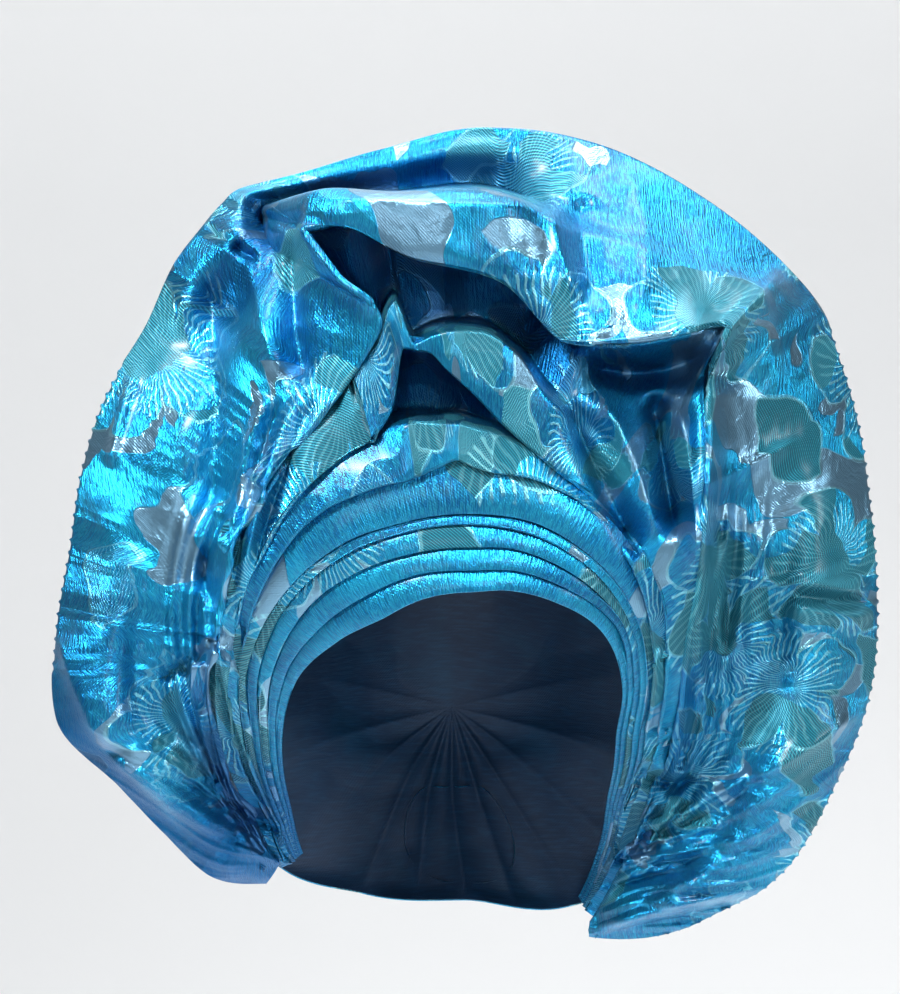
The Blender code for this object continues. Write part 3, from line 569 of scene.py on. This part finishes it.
class Shader:
    """A material's node tree, with one method that adds any node."""

    def __init__(self, name):
        self.material = bpy.data.materials.new(name)
        self.material.use_nodes = True
        self.tree = self.material.node_tree
        self.tree.nodes.clear()

    def node(self, kind, settings=None, sockets=None, output=0):
        """Adds a node: its settings first, then values or wires on its sockets; gives one output."""
        made = self.tree.nodes.new(kind)
        for name, value in (settings or {}).items():
            setattr(made, name, value)
        for name, value in (sockets or {}).items():
            if isinstance(value, Wire):
                self.tree.links.new(value.socket, made.inputs[name])
            else:
                made.inputs[name].default_value = value
        return Wire(self, made.outputs[output]) if made.outputs else None

    def finished(self, sockets):
        """The material with its surface, given values or wires for the surface's sockets."""
        surface = self.node("ShaderNodeBsdfPrincipled", None, sockets)
        self.node("ShaderNodeOutputMaterial", None, {"Surface": surface})
        return self.material

    def bump(self, strength, distance, relief):
        sockets = {"Strength": strength, "Distance": distance, "Height": relief}
        return self.node("ShaderNodeBump", None, sockets)

    def cloth_place(self):
        """The flat cloth coordinates that every piece carries."""
        return self.node("ShaderNodeAttribute", {"attribute_name": "cloth"}, None, 1)

    def mix(self, share, first, second):
        sockets = {0: share, 6: first, 7: second}
        return self.node("ShaderNodeMix", {"data_type": "RGBA"}, sockets, 2)

    def vector(self, operation, first, second=None, output=0):
        sockets = {0: first} if second is None else {0: first, 1: second}
        return self.node("ShaderNodeVectorMath", {"operation": operation}, sockets, output)

    def parts(self, vector):
        split = self.tree.nodes.new("ShaderNodeSeparateXYZ")
        self.tree.links.new(vector.socket, split.inputs[0])
        return [Wire(self, split.outputs[axis]) for axis in range(3)]

    def noise(self, place, scale, detail=2.0, roughness=0.5):
        settings = {"noise_dimensions": "2D"}
        sockets = {"Vector": place, "Scale": scale, "Detail": detail, "Roughness": roughness}
        return self.node("ShaderNodeTexNoise", settings, sockets)


def shade(colour):
    """The colour as a socket takes it, with its fourth number."""
    return (*colour, 1.0)


def motif_cells(shader, place, cell, randomness):
    """Each point's offset from the middle of its motif, in cells, and three random numbers of the motif."""
    made = shader.tree.nodes.new("ShaderNodeTexVoronoi")
    made.voronoi_dimensions = "2D"
    made.inputs["Scale"].default_value = 1 / cell
    made.inputs["Randomness"].default_value = randomness
    shader.tree.links.new(place.socket, made.inputs["Vector"])
    offset = shader.vector("SUBTRACT", place, Wire(shader, made.outputs["Position"]))
    across, up, _ = shader.parts(offset)
    split = shader.tree.nodes.new("ShaderNodeSeparateColor")
    shader.tree.links.new(made.outputs["Color"], split.inputs[0])
    chance = [Wire(shader, split.outputs[channel]) for channel in range(3)]
    return across / cell, up / cell, chance


# The brocade: steps of its twill, threads of its weave to a metre, and sizes of its motifs
TWILL = 0.0015
WEAVE = (1150.0, 110.0, 1.0)
FLOWER_CELL = 0.082
LEAF_CELL = 0.058
STROKES = 46.0


def brocade(name, looks, pattern):
    """Metallic brocade: satin ground, feathered flowers, twilled leaves and silver patches."""
    shader = Shader(name)
    flat = shader.cloth_place()
    wander = shader.node("ShaderNodeTexNoise", {"noise_dimensions": "2D"}, {"Vector": flat, "Scale": 34.0}, 1)
    sway = shader.vector("SCALE", shader.vector("SUBTRACT", wander, (0.5, 0.5, 0.5)))
    sway.socket.node.inputs["Scale"].default_value = 0.011
    place = shader.vector("ADD", flat, sway)
    across, up, shadow = shader.parts(flat)

    twill = ((across + up) * (math.tau / TWILL)).sine()
    ground_weave = shader.noise(shader.vector("MULTIPLY", flat, WEAVE), 1.0, 2.0, 0.6)
    glint = (1 - abs(ground_weave * 2 - 1)).ramp(0.80, 0.98)
    cloudy = shader.noise(flat, 11.0, 2.0, 0.5)
    blotch = shader.noise(place, 20.0, 1.0, 0.4)

    right, rise, chance = motif_cells(shader, place, FLOWER_CELL, 0.75)
    distance = (right * right + rise * rise).power(0.5)
    turn = rise.turn_from(right)
    lobes = abs((turn * 2.5 + chance[0] * 6.0).sine())
    petal = 0.19 + lobes.power(0.6) * 0.30
    bloom = chance[2] > 0.42
    inside = (petal - distance).ramp(0.0, 0.010) * bloom
    outline = (1 - abs(petal - distance).ramp(0.009, 0.015)) * bloom
    fine = shader.noise(place, 160.0, 2.0, 0.6)
    strokes = (turn * STROKES + fine * 1.6).sine().ramp(0.25, 0.85)
    reach = 0.02 + fine * 0.18 + blotch * 0.50
    feather = strokes * distance.ramp(0.03, 0.10) * (1 - distance.ramp(reach, reach + 0.05)) * bloom
    twilled = inside * blotch.ramp(0.51, 0.52)

    aside = shader.vector("ADD", place, (0.31, 0.17, 0.0))
    right, rise, chance = motif_cells(shader, aside, LEAF_CELL, 0.9)
    lean = chance[0] * math.tau
    long = right * lean.cosine() + rise * lean.sine()
    wide = rise * lean.cosine() - right * lean.sine()
    leaf_edge = 0.25 * (1 - (long * 2.2) * (long * 2.2)) - abs(wide)
    leaf = leaf_edge.ramp(0.0, 0.012) * (1 - inside) * (chance[2] > 0.5)
    vein = (1 - abs(leaf_edge).ramp(0.012, 0.020)) * (1 - inside) * (chance[2] > 0.5)
    barbs = ((abs(wide) * 1.6 - long) * 150.0 + fine * 4.0).sine().ramp(0.6, 0.99) * leaf * (chance[2] > 0.7)

    clear = (1 - inside) * (1 - leaf)
    near_petal = (petal + 0.15 - distance).ramp(0.0, 0.01) * clear * bloom
    silver = (near_petal * (1 - blotch.ramp(0.46, 0.47))).most(cloudy.ramp(0.63, 0.635) * clear)
    teal = twilled.most(leaf * (chance[1] > 0.4))
    lines = (outline * 0.5).most(vein * 0.45).most(feather * (1 - twilled * 0.7)).most(barbs * 0.5) * pattern
    teal, silver = teal * pattern, silver * pattern

    ground = shader.mix(cloudy.ramp(0.35, 0.65), shade(looks.deep_blue), shade(looks.blue))
    # Partly the colour of the bright metallic threads and partly a painted glint on them.
    ground = shader.mix(glint * 0.25, ground, shade(looks.cyan))
    ground = shader.mix(silver, ground, shade(looks.silver))
    ground = shader.mix(teal * 0.9, ground, shade(looks.teal))
    ground = shader.mix(teal * twill.ramp(0.0, 0.9) * 0.3, ground, shade(looks.cyan))
    colour = shader.mix(lines * 0.55, ground, shade(looks.pale))
    # Painted shade: navy mixed into the colour by the third cloth number, where the cloth lies deep in
    # shadow.
    colour = shader.mix(shadow, colour, shade(looks.painted_shade))

    rough = 0.34 - lines * 0.06 - silver * 0.04 + teal * 0.12 + cloudy * 0.05 + shadow * 0.1
    crease = shader.noise(place, 210.0, 3.0, 0.6)
    woven = (1 - silver) * (1 - teal)
    relief = twill * (teal * 1.2 + 0.15) + ground_weave * woven * 5.0 + lines * 1.2 + crease * 2.6
    sockets = {
        "Base Color": colour,
        "Roughness": rough,
        "Normal": shader.bump(0.5, 0.0004, relief),
        "Metallic": 0.92 - teal * 0.3,
        "Coat Weight": 0.35 - shadow * 0.35,
        "Coat Roughness": 0.28,
    }
    return shader.finished(sockets)


def reverse_cloth(name, looks):
    """The wrong side of the cloth: matt, with floating threads."""
    shader = Shader(name)
    flat = shader.cloth_place()
    across, up, _ = shader.parts(flat)
    threads = shader.noise(shader.vector("MULTIPLY", flat, (90.0, 700.0, 1.0)), 1.0, 3.0, 0.6)
    weave = ((across - up) * (math.tau / 0.0014)).sine()
    cloudy = shader.noise(flat, 26.0, 3.0, 0.5)
    colour = shader.mix(threads.ramp(0.4, 0.8) * 0.12, shade(looks.reverse), shade(looks.deep_blue))
    colour = shader.mix(cloudy.ramp(0.45, 0.8) * 0.06, colour, shade(looks.blue))
    relief = weave * 0.4 + threads * 2.0 + cloudy * 3.0
    sockets = {
        "Base Color": colour,
        "Roughness": 0.62 - threads * 0.1,
        "Normal": shader.bump(0.3, 0.0003, relief),
        "Metallic": 0.1,
    }
    return shader.finished(sockets)


def plain_surface(name, colour, roughness):
    """Matt paper with a faint grain."""
    shader = Shader(name)
    place = shader.node("ShaderNodeTexCoord", None, None, 3)
    grain = shader.node("ShaderNodeTexNoise", None, {"Vector": place, "Scale": 6.0, "Detail": 4.0})
    tint = shader.mix(grain * 0.1, shade(colour), shade([value * 0.94 for value in colour]))
    sockets = {"Base Color": tint, "Roughness": roughness + grain * 0.05}
    return shader.finished(sockets)


def colour_property(name, description, default):
    """A colour that the panel shows."""
    return FloatVectorProperty(
        name=name, description=description, subtype="COLOR", size=3, min=0, max=1, default=default
    )


def length_property(name, description, default):
    """A length in metres that the panel shows."""
    return FloatProperty(name=name, description=description, unit="LENGTH", default=default)


class WrapCloth(bpy.types.PropertyGroup):
    """Colours of the brocade and sizes of its folds."""

    blue: colour_property("Blue", "Colour of the satin ground", (0.006, 0.28, 0.55))
    deep_blue: colour_property("Deep blue", "Colour of the ground's darker cloud", (0.003, 0.15, 0.38))
    # Cyan is the colour of the bright metallic threads, and also of the glints painted on them.
    cyan: colour_property("Cyan", "Colour of the bright metallic threads", (0.06, 0.80, 0.95))
    pale: colour_property("Pale", "Colour of the fine strokes and outlines", (0.34, 0.86, 0.95))
    teal: colour_property("Teal", "Colour of the twilled leaves and petals", (0.007, 0.105, 0.16))
    silver: colour_property("Silver", "Colour of the smooth satin patches", (0.17, 0.36, 0.52))
    # Painted shade: the navy painted on the cloth where it lies deep in shadow inside its folds.
    painted_shade: colour_property("Navy", "Colour of the cloth deep inside its folds", (0.003, 0.09, 0.28))
    reverse: colour_property("Reverse", "Colour of the wrong side of the cloth", (0.003, 0.025, 0.07))
    pleat_fold: length_property("Pleat fold", "Radius of a brow pleat's folded edge", 0.0006)
    crown_fold: length_property("Crown fold", "Radius of a crown fold's rolled edge", 0.0013)
    low_hollow: length_property("Low hollow", "Depth behind the low fold's crest", 0.040)
    high_hollow: length_property("High hollow", "Depth behind the high fold's crest", 0.049)
    tooth: length_property("Tooth", "Width of one tooth of the pinked rim", 0.0055)
    tooth_depth: length_property("Tooth depth", "Depth of one tooth of the pinked rim", 0.0026)
    roll: length_property("Rim roll", "How far the smooth rim rolls back", 0.011)
    lip: length_property("Lip", "How far the smooth rim swells forward", 0.008)
    crumple: length_property("Crumple", "Height of the cloth's small dents", 0.0011)


class WrapStage(bpy.types.PropertyGroup):
    """The studio around the wrap."""

    distance: length_property("Camera distance", "From the camera to the seat", 2.4)
    floor_drop: length_property("Floor drop", "How far the floor lies below the seat", 0.45)
    backdrop: colour_property("Backdrop", "Colour of the floor and backdrop", (0.86, 0.87, 0.88))


class WRAP_OT_brow(bpy.types.Operator):
    """Builds the brow band and the four pleats over it"""

    bl_idname = "wrap.brow"
    bl_label = "Brow pleats"

    def execute(self, context):
        looks = context.scene.wrap_cloth
        angle = np.linspace(SHEET_FIRST, SHEET_LAST, PLEAT_COLUMNS)
        rises = np.concatenate([np.linspace(0, 1, PLEAT_ROWS), [1.5, 2.0]])
        satin = brocade("brow satin", looks, 0.0)
        woven = brocade("brow brocade", looks, 1.0)
        for order in range(5):
            grid, _ = layer_grid(order, angle, rises, LAYER, PLEAT_SWELL)
            name = f"brow_pleat_{order}" if order else "brow_band"
            puff = np.sin(math.pi * np.clip(rises, 0, 1)) ** 0.7
            width = np.linalg.norm(grid[PLEAT_ROWS - 1] - grid[0], axis=-1)
            swell = puff[:, None] * np.minimum(width * PLEAT_PUFF, PLEAT_SWELL)
            grid = grid + normals_of(grid) * swell[..., None]
            ripple = crumple(grid * np.array([1.0, 1.0, 0.4]), 0.021, order) * PLEAT_RIPPLE
            grid[..., 1] -= ripple * ease(rises[:, None] / 0.3)
            grid = fold_under(grid, looks.pleat_fold, PLEAT_UNDER)
            # Painted shade low at both sides, carried as the third cloth number.
            flat = cloth_map(grid, (0.013 * order, 0.08 * order), side_shadow(angle))
            piece = sheet_piece("pleat_" + name, grid, flat, [woven if order >= 2 else satin])
            declare(piece, grid, name)
        return {"FINISHED"}


class WRAP_OT_crown(bpy.types.Operator):
    """Builds the two crown folds with the hollows behind their crests"""

    bl_idname = "wrap.crown"
    bl_label = "Crown folds"

    def execute(self, context):
        looks = context.scene.wrap_cloth
        material = brocade("crown brocade", looks, 1.0)
        places = (SHEET_FIRST, *FOLD_MIDDLE, SHEET_LAST)
        angle = np.concatenate([
            np.linspace(first, last, count, endpoint=last == SHEET_LAST)
            for first, last, count in zip(places, places[1:], FOLD_COLUMNS)
        ])
        rises = np.concatenate([np.linspace(0, 1, FOLD_ROWS), np.linspace(1.1, 2.0, 8)])
        folds = (("low", 5, looks.low_hollow, 0.0), ("high", 6, looks.high_hollow, HIDDEN_RUN))
        for name, order, hollow, run_on in folds:
            crest = smooth(CROWN["angle"], CROWN[name + "_crest"], angle) * FAN_RADIUS
            dip = smooth(CROWN["angle"], CROWN[name + "_dip"], angle)
            middle = ease((48 - np.abs(angle)) / 16)
            grid, places = layer_grid(order, angle, rises, FOLD_LIFT, FOLD_SWELL, run_on * middle)
            behind = places - crest
            grid[..., 1] += hollow * dip * ease(behind / CREST_DROP)
            # Painted shade in the hollow behind the crest and low at both sides, carried as the third cloth
            # number.
            shadow = DEEPEST * ease(dip * 2) * ease((behind - CREST_DROP / 2) / CREST_DROP)
            shadow = np.maximum(shadow, side_shadow(angle))
            creases = crumple(grid, 0.034, order) * looks.crumple * 1.3
            grid[..., 1] -= creases * ease(rises[:, None] / 0.15)
            grid = pressed(grid)
            grid = fold_under(grid, looks.crown_fold, FOLD_UNDER)
            shadow = np.pad(shadow, ((len(grid) - len(shadow), 0), (0, 0)), "edge")
            flat = cloth_map(grid, (0.4 * order, 0.3), shadow)
            piece = sheet_piece(name + "_fold_cloth", grid, flat, [material])
            declare(piece, grid, name + "_crown_fold")
        return {"FINISHED"}


def fan_points(across, ways):
    """The fan's smooth points at shares across its sections and of the way to the rim."""
    order = np.arange(len(FAN_SECTIONS), dtype=float)
    place = across * order[-1]
    read = {name: smooth(order, FAN[name], place) for name in FAN_COLUMNS}
    inner = polar(read["angle"], read["reach"] * FAN_RADIUS, 0.0)
    outer = polar(read["rim_angle"], read["rim_reach"] * FAN_RADIUS, 0.0)
    depths = np.array([read[name] for name in ("edge", "neck", "swell", "shoulder", "rim")])
    depth = np.array([smooth(FAN_WAYS, depths[:, col], ways) for col in range(len(place))]).T * HEAD_DEPTH
    grid = inner[None] + (outer - inner)[None] * np.asarray(ways)[:, None, None]
    grid[..., 1] = depth
    lift = normals_of(grid) + np.array([0.0, -1.0, 0.0])
    grid = grid + lift / np.linalg.norm(lift, axis=-1, keepdims=True) * FOLD_LIFT
    return grid, inner, outer, read


def side_folds(angle, ways):
    """Soft folds that run down both sides, next to each other, where the fan springs from the wrap."""
    way = ways[:, None]
    place = sum(window(angle, *angles) for angles in SIDE_ANGLES)
    turn = way * SIDE_FOLDS + sum(swing * np.sin(np.radians(angle * rate)) for swing, rate in SIDE_WANDER)
    saw = np.abs((turn % 1.0) * 2 - 1)
    return SIDE_FOLD_HEIGHT * (1 - 2 * saw**0.8) * window(way, 0, 0.05, 0.52, 0.42) * place


def corner_pleats(angle, ways, first, last, pitch):
    """Straight pleats that spread from one of the fan's lower corners across its lobe."""
    way = ways[:, None]
    lean = angle + CORNER_SLANT * way + 2.0 * np.sin(np.radians(angle * 9))
    wide = np.abs((lean / pitch % 1.0) * 2 - 1)
    fine = np.abs((lean / (pitch * 0.41) % 1.0) * 2 - 1)
    place = ease((lean - first - 20) / 12) * window(angle, first, 14, last, 16)
    height = CORNER_HEIGHT * (1 - 2 * wide**0.7) + CORNER_FINE_HEIGHT * (1 - 2 * fine**0.8)
    return height * place * ease(way / 0.05) * (1 - 0.7 * ease(way / 0.95))


def fan_shadow(angle, ways):
    """How much painted shade the fan's cloth carries for how deep in shadow it lies: folded under at the left
    corner, and behind its crest.
    """
    way = ways[:, None]
    shadow = np.zeros((len(ways), len(angle)))
    for *place, dark in FAN_SHADOWS:
        here = window(angle, *place[:4]) * window(way, *place[4:])
        shadow = np.maximum(shadow, dark * here)
    return DEEPEST * shadow


def long_dents(angle, ways, seed):
    """Dents that run outwards, drawn long by the pull of the folds."""
    turn = np.radians(angle)[None, :] * 0.62 * FAN_RADIUS + 0 * ways[:, None]
    out = ways[:, None] * 0.17 * FAN_RADIUS + 0 * turn
    return crumple(np.stack([turn + out * 0.3, out, 0 * turn], axis=-1), 0.018, seed)


class WRAP_OT_fan(bpy.types.Operator):
    """Builds the wide fan with its gathers, creases, rolled top and pinked sides"""

    bl_idname = "wrap.fan"
    bl_label = "Fan"

    def execute(self, context):
        looks = context.scene.wrap_cloth
        across = np.linspace(0, 1, FAN_COLUMNS_ACROSS)
        ways = np.linspace(0, 1, FAN_ROWS)
        grid, inner, outer, read = fan_points(across, ways)
        angle = read["angle"]
        pleats = corner_pleats(angle, ways, *RIGHT_CORNER) + corner_pleats(-angle, ways, *LEFT_CORNER)
        width = np.linalg.norm(outer - inner, axis=1)
        grid[..., 1] -= side_folds(angle, ways) + pleats * ease(width / CORNER_NARROW)
        way = ways[:, None]
        dents = crumple(grid, 0.055, 11) * 1.8 + crumple(grid, 0.024, 5) * 0.5
        dents = dents + long_dents(angle, ways, 17) * 0.9
        grid[..., 1] -= dents * looks.crumple * ease(way / 0.1) * (1 - 0.4 * ease((way - 0.7) / 0.3))
        top = read["roll"] * window(angle, -30, 8, 12, 10)
        grid[..., 1] -= looks.lip * np.exp(-(((way - 0.86) / 0.09) ** 2)) * top
        grid = pressed(grid)
        out = outer - inner
        out = out / np.linalg.norm(out, axis=1, keepdims=True)

        tooth = np.abs((lengths(grid[-1]) / looks.tooth) % 1.0 * 2 - 1)
        cut = (1 - ease(read["roll"] * 4)) * looks.tooth_depth
        grid[-1] -= out * (tooth * cut)[:, None]
        rows = [grid]
        for turn in np.radians(np.linspace(15, 130, FAN_LIP_ROWS)):
            lip = grid[-1] - out * (looks.roll / 2 * (1 - math.cos(turn)) * read["roll"])[:, None]
            lip[:, 1] += looks.roll * math.sin(turn / 2) * read["roll"] + 0.00001 * turn
            rows.append(lip[None])
        grid = np.concatenate(rows)
        grid = fold_under(grid, FAN_EDGE, FAN_UNDER)
        flat = inner[None] + out[None] * lengths(grid)[..., None]
        flat = flat[..., [0, 2, 1]]
        before = len(grid) - len(ways) - FAN_LIP_ROWS
        # Painted shade, carried as the third cloth number: folded under at the left corner, low at the sides
        # and behind the crest.
        flat[..., 2] = np.pad(fan_shadow(angle, ways), ((before, FAN_LIP_ROWS), (0, 0)), "edge")
        piece = sheet_piece("fan_cloth", grid, flat, [brocade("fan brocade", looks, 1.0)])
        declare(piece, grid, "fan")
        return {"FINISHED"}


def wrap_edge():
    """Angle, reach and depth of the plain wrap's outer edge, right round, from the fan's own back."""
    across = np.linspace(0, 1, 2 * len(FAN_SECTIONS) - 1)
    ways = np.linspace(0, 1, JOIN_ROWS)
    grid = pressed(fan_points(across, ways)[0])
    behind = grid - normals_of(grid) * JOIN_GAP
    upright = np.cos(np.radians(np.linspace(JOIN_FIRST, JOIN_LAST, len(across))))
    way = JOIN_LOW_WAY + (JOIN_WAY - JOIN_LOW_WAY) * np.clip(upright, 0, 1)
    line = behind[np.searchsorted(ways, way), np.arange(len(across))]
    flat = line - np.array([FOLD_CENTRE, 0, 0])
    angle = np.degrees(np.arctan2(flat[:, 0], flat[:, 2]))
    reach = np.hypot(flat[:, 0], flat[:, 2])
    keep = (angle > JOIN_FIRST) & (angle < JOIN_LAST)
    angle, reach, depth = angle[keep], reach[keep], line[keep, 1]
    order = np.argsort(angle)
    angle, reach, depth = angle[order], reach[order], depth[order]
    angle = np.concatenate([angle, NAPE["angle"], angle[:1] + 360])
    reach = np.concatenate([reach, NAPE["reach"] * FAN_RADIUS, reach[:1]])
    depth = np.concatenate([depth, NAPE["depth"] * HEAD_DEPTH, depth[:1]])
    return angle, reach, depth


def wrap_points(edge, angle, share):
    """The plain wrap: share 0 on its outer edge, 1 in the middle of its back."""
    stations, reaches, depths = edge
    angle, share = np.broadcast_arrays(angle, share)
    turned = stations[0] + np.mod(angle - stations[0], 360)
    reach, depth = smooth(stations, reaches, turned), smooth(stations, depths, turned)
    turn = np.radians(turned)
    tall = np.where(np.cos(turn) > 0, CROWN_HEIGHT, NAPE_DROP)
    dome = 1 / np.sqrt((np.sin(turn) / HEAD_HALF_WIDTH) ** 2 + (np.cos(turn) / tall) ** 2)
    start = np.arccos(np.clip(depth / OCCIPUT, 0.0, 0.92))
    lean = start * (1 - share)
    pull = ease(1 - share / 0.55) ** 1.5
    radius = dome * np.sin(lean) + (reach - dome * np.sin(start)) * pull
    back = OCCIPUT * np.cos(lean) + (depth - OCCIPUT * np.cos(start)) * pull
    points = polar(turned, radius, back)
    points[..., 0] -= FOLD_CENTRE * (1 - pull)
    points[..., 2] += OCCIPUT_RISE * (1 - pull)
    return points


class WRAP_OT_back(bpy.types.Operator):
    """Builds the plain wrap over the crown and back"""

    bl_idname = "wrap.back"
    bl_label = "Head wrap"

    def execute(self, context):
        looks = context.scene.wrap_cloth
        edge = wrap_edge()
        angle = np.linspace(0, 360, WRAP_COLUMNS, endpoint=False)
        share = np.linspace(0, 0.995, WRAP_ROWS)
        grid = wrap_points(edge, angle[None, :], share[:, None])
        normal = normals_of(grid)
        turn = np.radians(angle)[None, :]
        fade = ease(share / 0.1) * ease((1 - share) / 0.35)
        tucks = np.abs(np.sin(turn * 9 + 1.2 * np.sin(turn * 2))) ** 0.7 * 0.0024
        tucks = tucks * ease((np.cos(turn + math.pi) + 0.6) / 1.0) + crumple(grid, 0.05, 21) * 0.0012
        grid = grid + normal * (fade[:, None] * tucks)[..., None]
        out = lengths(grid[::-1])[::-1]
        flat = np.stack([out * np.sin(turn), out * np.cos(turn), 0 * out], axis=-1)
        outside = brocade("back brocade", looks, 1.0)
        sides = [outside, reverse_cloth("reverse side", looks)]
        middle = wrap_points(edge, 0.0, 1.0).tolist()
        piece = sheet_piece("back_wrap", grid, flat, sides, True, SHEET_WALL, middle)
        declare(piece, grid, "head_wrap")
        return {"FINISHED"}


class WRAP_OT_knot(bpy.types.Operator):
    """Builds the knot at the nape"""

    bl_idname = "wrap.knot"
    bl_label = "Nape knot"

    def execute(self, context):
        looks = context.scene.wrap_cloth
        edge = wrap_edge()
        turn = np.linspace(0, math.tau, 160, endpoint=False)[None, :]
        share = np.linspace(1, 0.01, 40)[:, None]
        angle = 180 + 26 * share * np.cos(turn)
        place = 0.30 + 0.20 * share * np.sin(turn)
        at = wrap_points(edge, angle, place)
        side = wrap_points(edge, angle + 1, place) - at
        normal = np.cross(side, wrap_points(edge, angle, place + 0.01) - at)
        normal /= np.linalg.norm(normal, axis=-1, keepdims=True)
        rise = 0.0012 + 0.0165 * np.sqrt(1 - share**2)
        rise = rise + 0.0022 * np.sin(7 * turn + 5 * share) * (1 - share) * share * 4
        grid = at + normal * rise[..., None]
        flat = cloth_map(grid)
        top = grid[-1].mean(axis=0).tolist()
        piece = sheet_piece("knot_cloth", grid, flat, [brocade("knot brocade", looks, 1.0)], True, 0.0, top)
        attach(piece, BODY)
        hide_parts("nape_knot")
        return {"FINISHED"}


def add_light(name, place, aim, size, power, spread):
    """An area lamp, with its power in watts and its spread in degrees."""
    data = bpy.data.lights.new(name, "AREA")
    data.shape = "RECTANGLE"
    data.size, data.size_y = size
    data.energy = power
    data.spread = math.radians(spread)
    light = bpy.data.objects.new(name, data)
    light.location = place
    light.rotation_euler = (Vector(aim) - Vector(place)).to_track_quat("-Z", "Y").to_euler()
    bpy.context.scene.collection.objects.link(light)


class WRAP_OT_stage(bpy.types.Operator):
    """Builds the floor, backdrop, lights and camera"""

    bl_idname = "wrap.stage"
    bl_label = "Studio"

    def execute(self, context):
        stage = context.scene.wrap_stage
        floor = -stage.floor_drop
        bend = np.radians(range(10, 91, 10))
        profile = [(SWEEP_FRONT, floor), (SWEEP_BACK, floor)]
        for turn in bend:
            rise = SWEEP_BEND * (1 - math.cos(turn))
            profile.append((SWEEP_BACK + SWEEP_BEND * math.sin(turn), floor + rise))
        profile.append((SWEEP_BACK + SWEEP_BEND, floor + SWEEP_HEIGHT))
        points = [(side, y, z) for y, z in profile for side in (-SWEEP_SIDE, SWEEP_SIDE)]
        faces = [(2 * k, 2 * k + 1, 2 * k + 3, 2 * k + 2) for k in range(len(profile) - 1)]
        mesh = bpy.data.meshes.new("sweep")
        mesh.from_pydata(points, [], faces)
        mesh.shade_smooth()
        mesh.materials.append(plain_surface("paper", stage.backdrop, 0.85))
        sweep = bpy.data.objects.new("sweep", mesh)
        context.scene.collection.objects.link(sweep)

        for lamp in LAMPS:
            add_light(*lamp)
        world = bpy.data.worlds.new("studio")
        world.use_nodes = True
        world.node_tree.nodes["Background"].inputs["Color"].default_value = (0.80, 0.86, 0.92, 1.0)
        world.node_tree.nodes["Background"].inputs["Strength"].default_value = 0.05
        context.scene.world = world

        width, height = PHOTO_SIZE
        data = bpy.data.cameras.new("camera")
        data.sensor_fit = "VERTICAL"
        data.sensor_height = 24.0
        data.lens = data.sensor_height * stage.distance / (height * PIXEL)
        camera = bpy.data.objects.new("camera", data)
        across = (width / 2 - SEAT_PIXEL[0]) * PIXEL
        rise = (SEAT_PIXEL[1] - height / 2) * PIXEL
        camera.location = (across, -stage.distance, rise)
        camera.rotation_euler = (math.pi / 2, 0.0, 0.0)
        context.scene.collection.objects.link(camera)
        context.scene.camera = camera
        context.scene.view_settings.view_transform = "Standard"
        return {"FINISHED"}


class WRAP_PT_panel(bpy.types.Panel):
    """Lists the pieces of the head wrap"""

    bl_label = "Head Wrap"
    bl_space_type = "VIEW_3D"
    bl_region_type = "UI"
    bl_category = "Head Wrap"

    def draw(self, context):
        for operator in OPERATORS:
            self.layout.operator(operator.bl_idname)
        for group in (context.scene.wrap_cloth, context.scene.wrap_stage):
            for name in group.__annotations__:
                self.layout.prop(group, name)


OPERATORS = (WRAP_OT_stage, WRAP_OT_back, WRAP_OT_brow, WRAP_OT_crown, WRAP_OT_fan, WRAP_OT_knot)
CLASSES = (WrapCloth, WrapStage, *OPERATORS, WRAP_PT_panel)


def register():
    for item in CLASSES:
        bpy.utils.register_class(item)
    bpy.types.Scene.wrap_cloth = bpy.props.PointerProperty(type=WrapCloth)
    bpy.types.Scene.wrap_stage = bpy.props.PointerProperty(type=WrapStage)


def unregister():
    del bpy.types.Scene.wrap_stage
    del bpy.types.Scene.wrap_cloth
    for item in reversed(CLASSES):
        bpy.utils.unregister_class(item)


def main():
    register()
    bpy.ops.wrap.stage()
    bpy.ops.wrap.back()
    bpy.ops.wrap.brow()
    bpy.ops.wrap.crown()
    bpy.ops.wrap.fan()
    bpy.ops.wrap.knot()


if __name__ == "__main__":
    main()
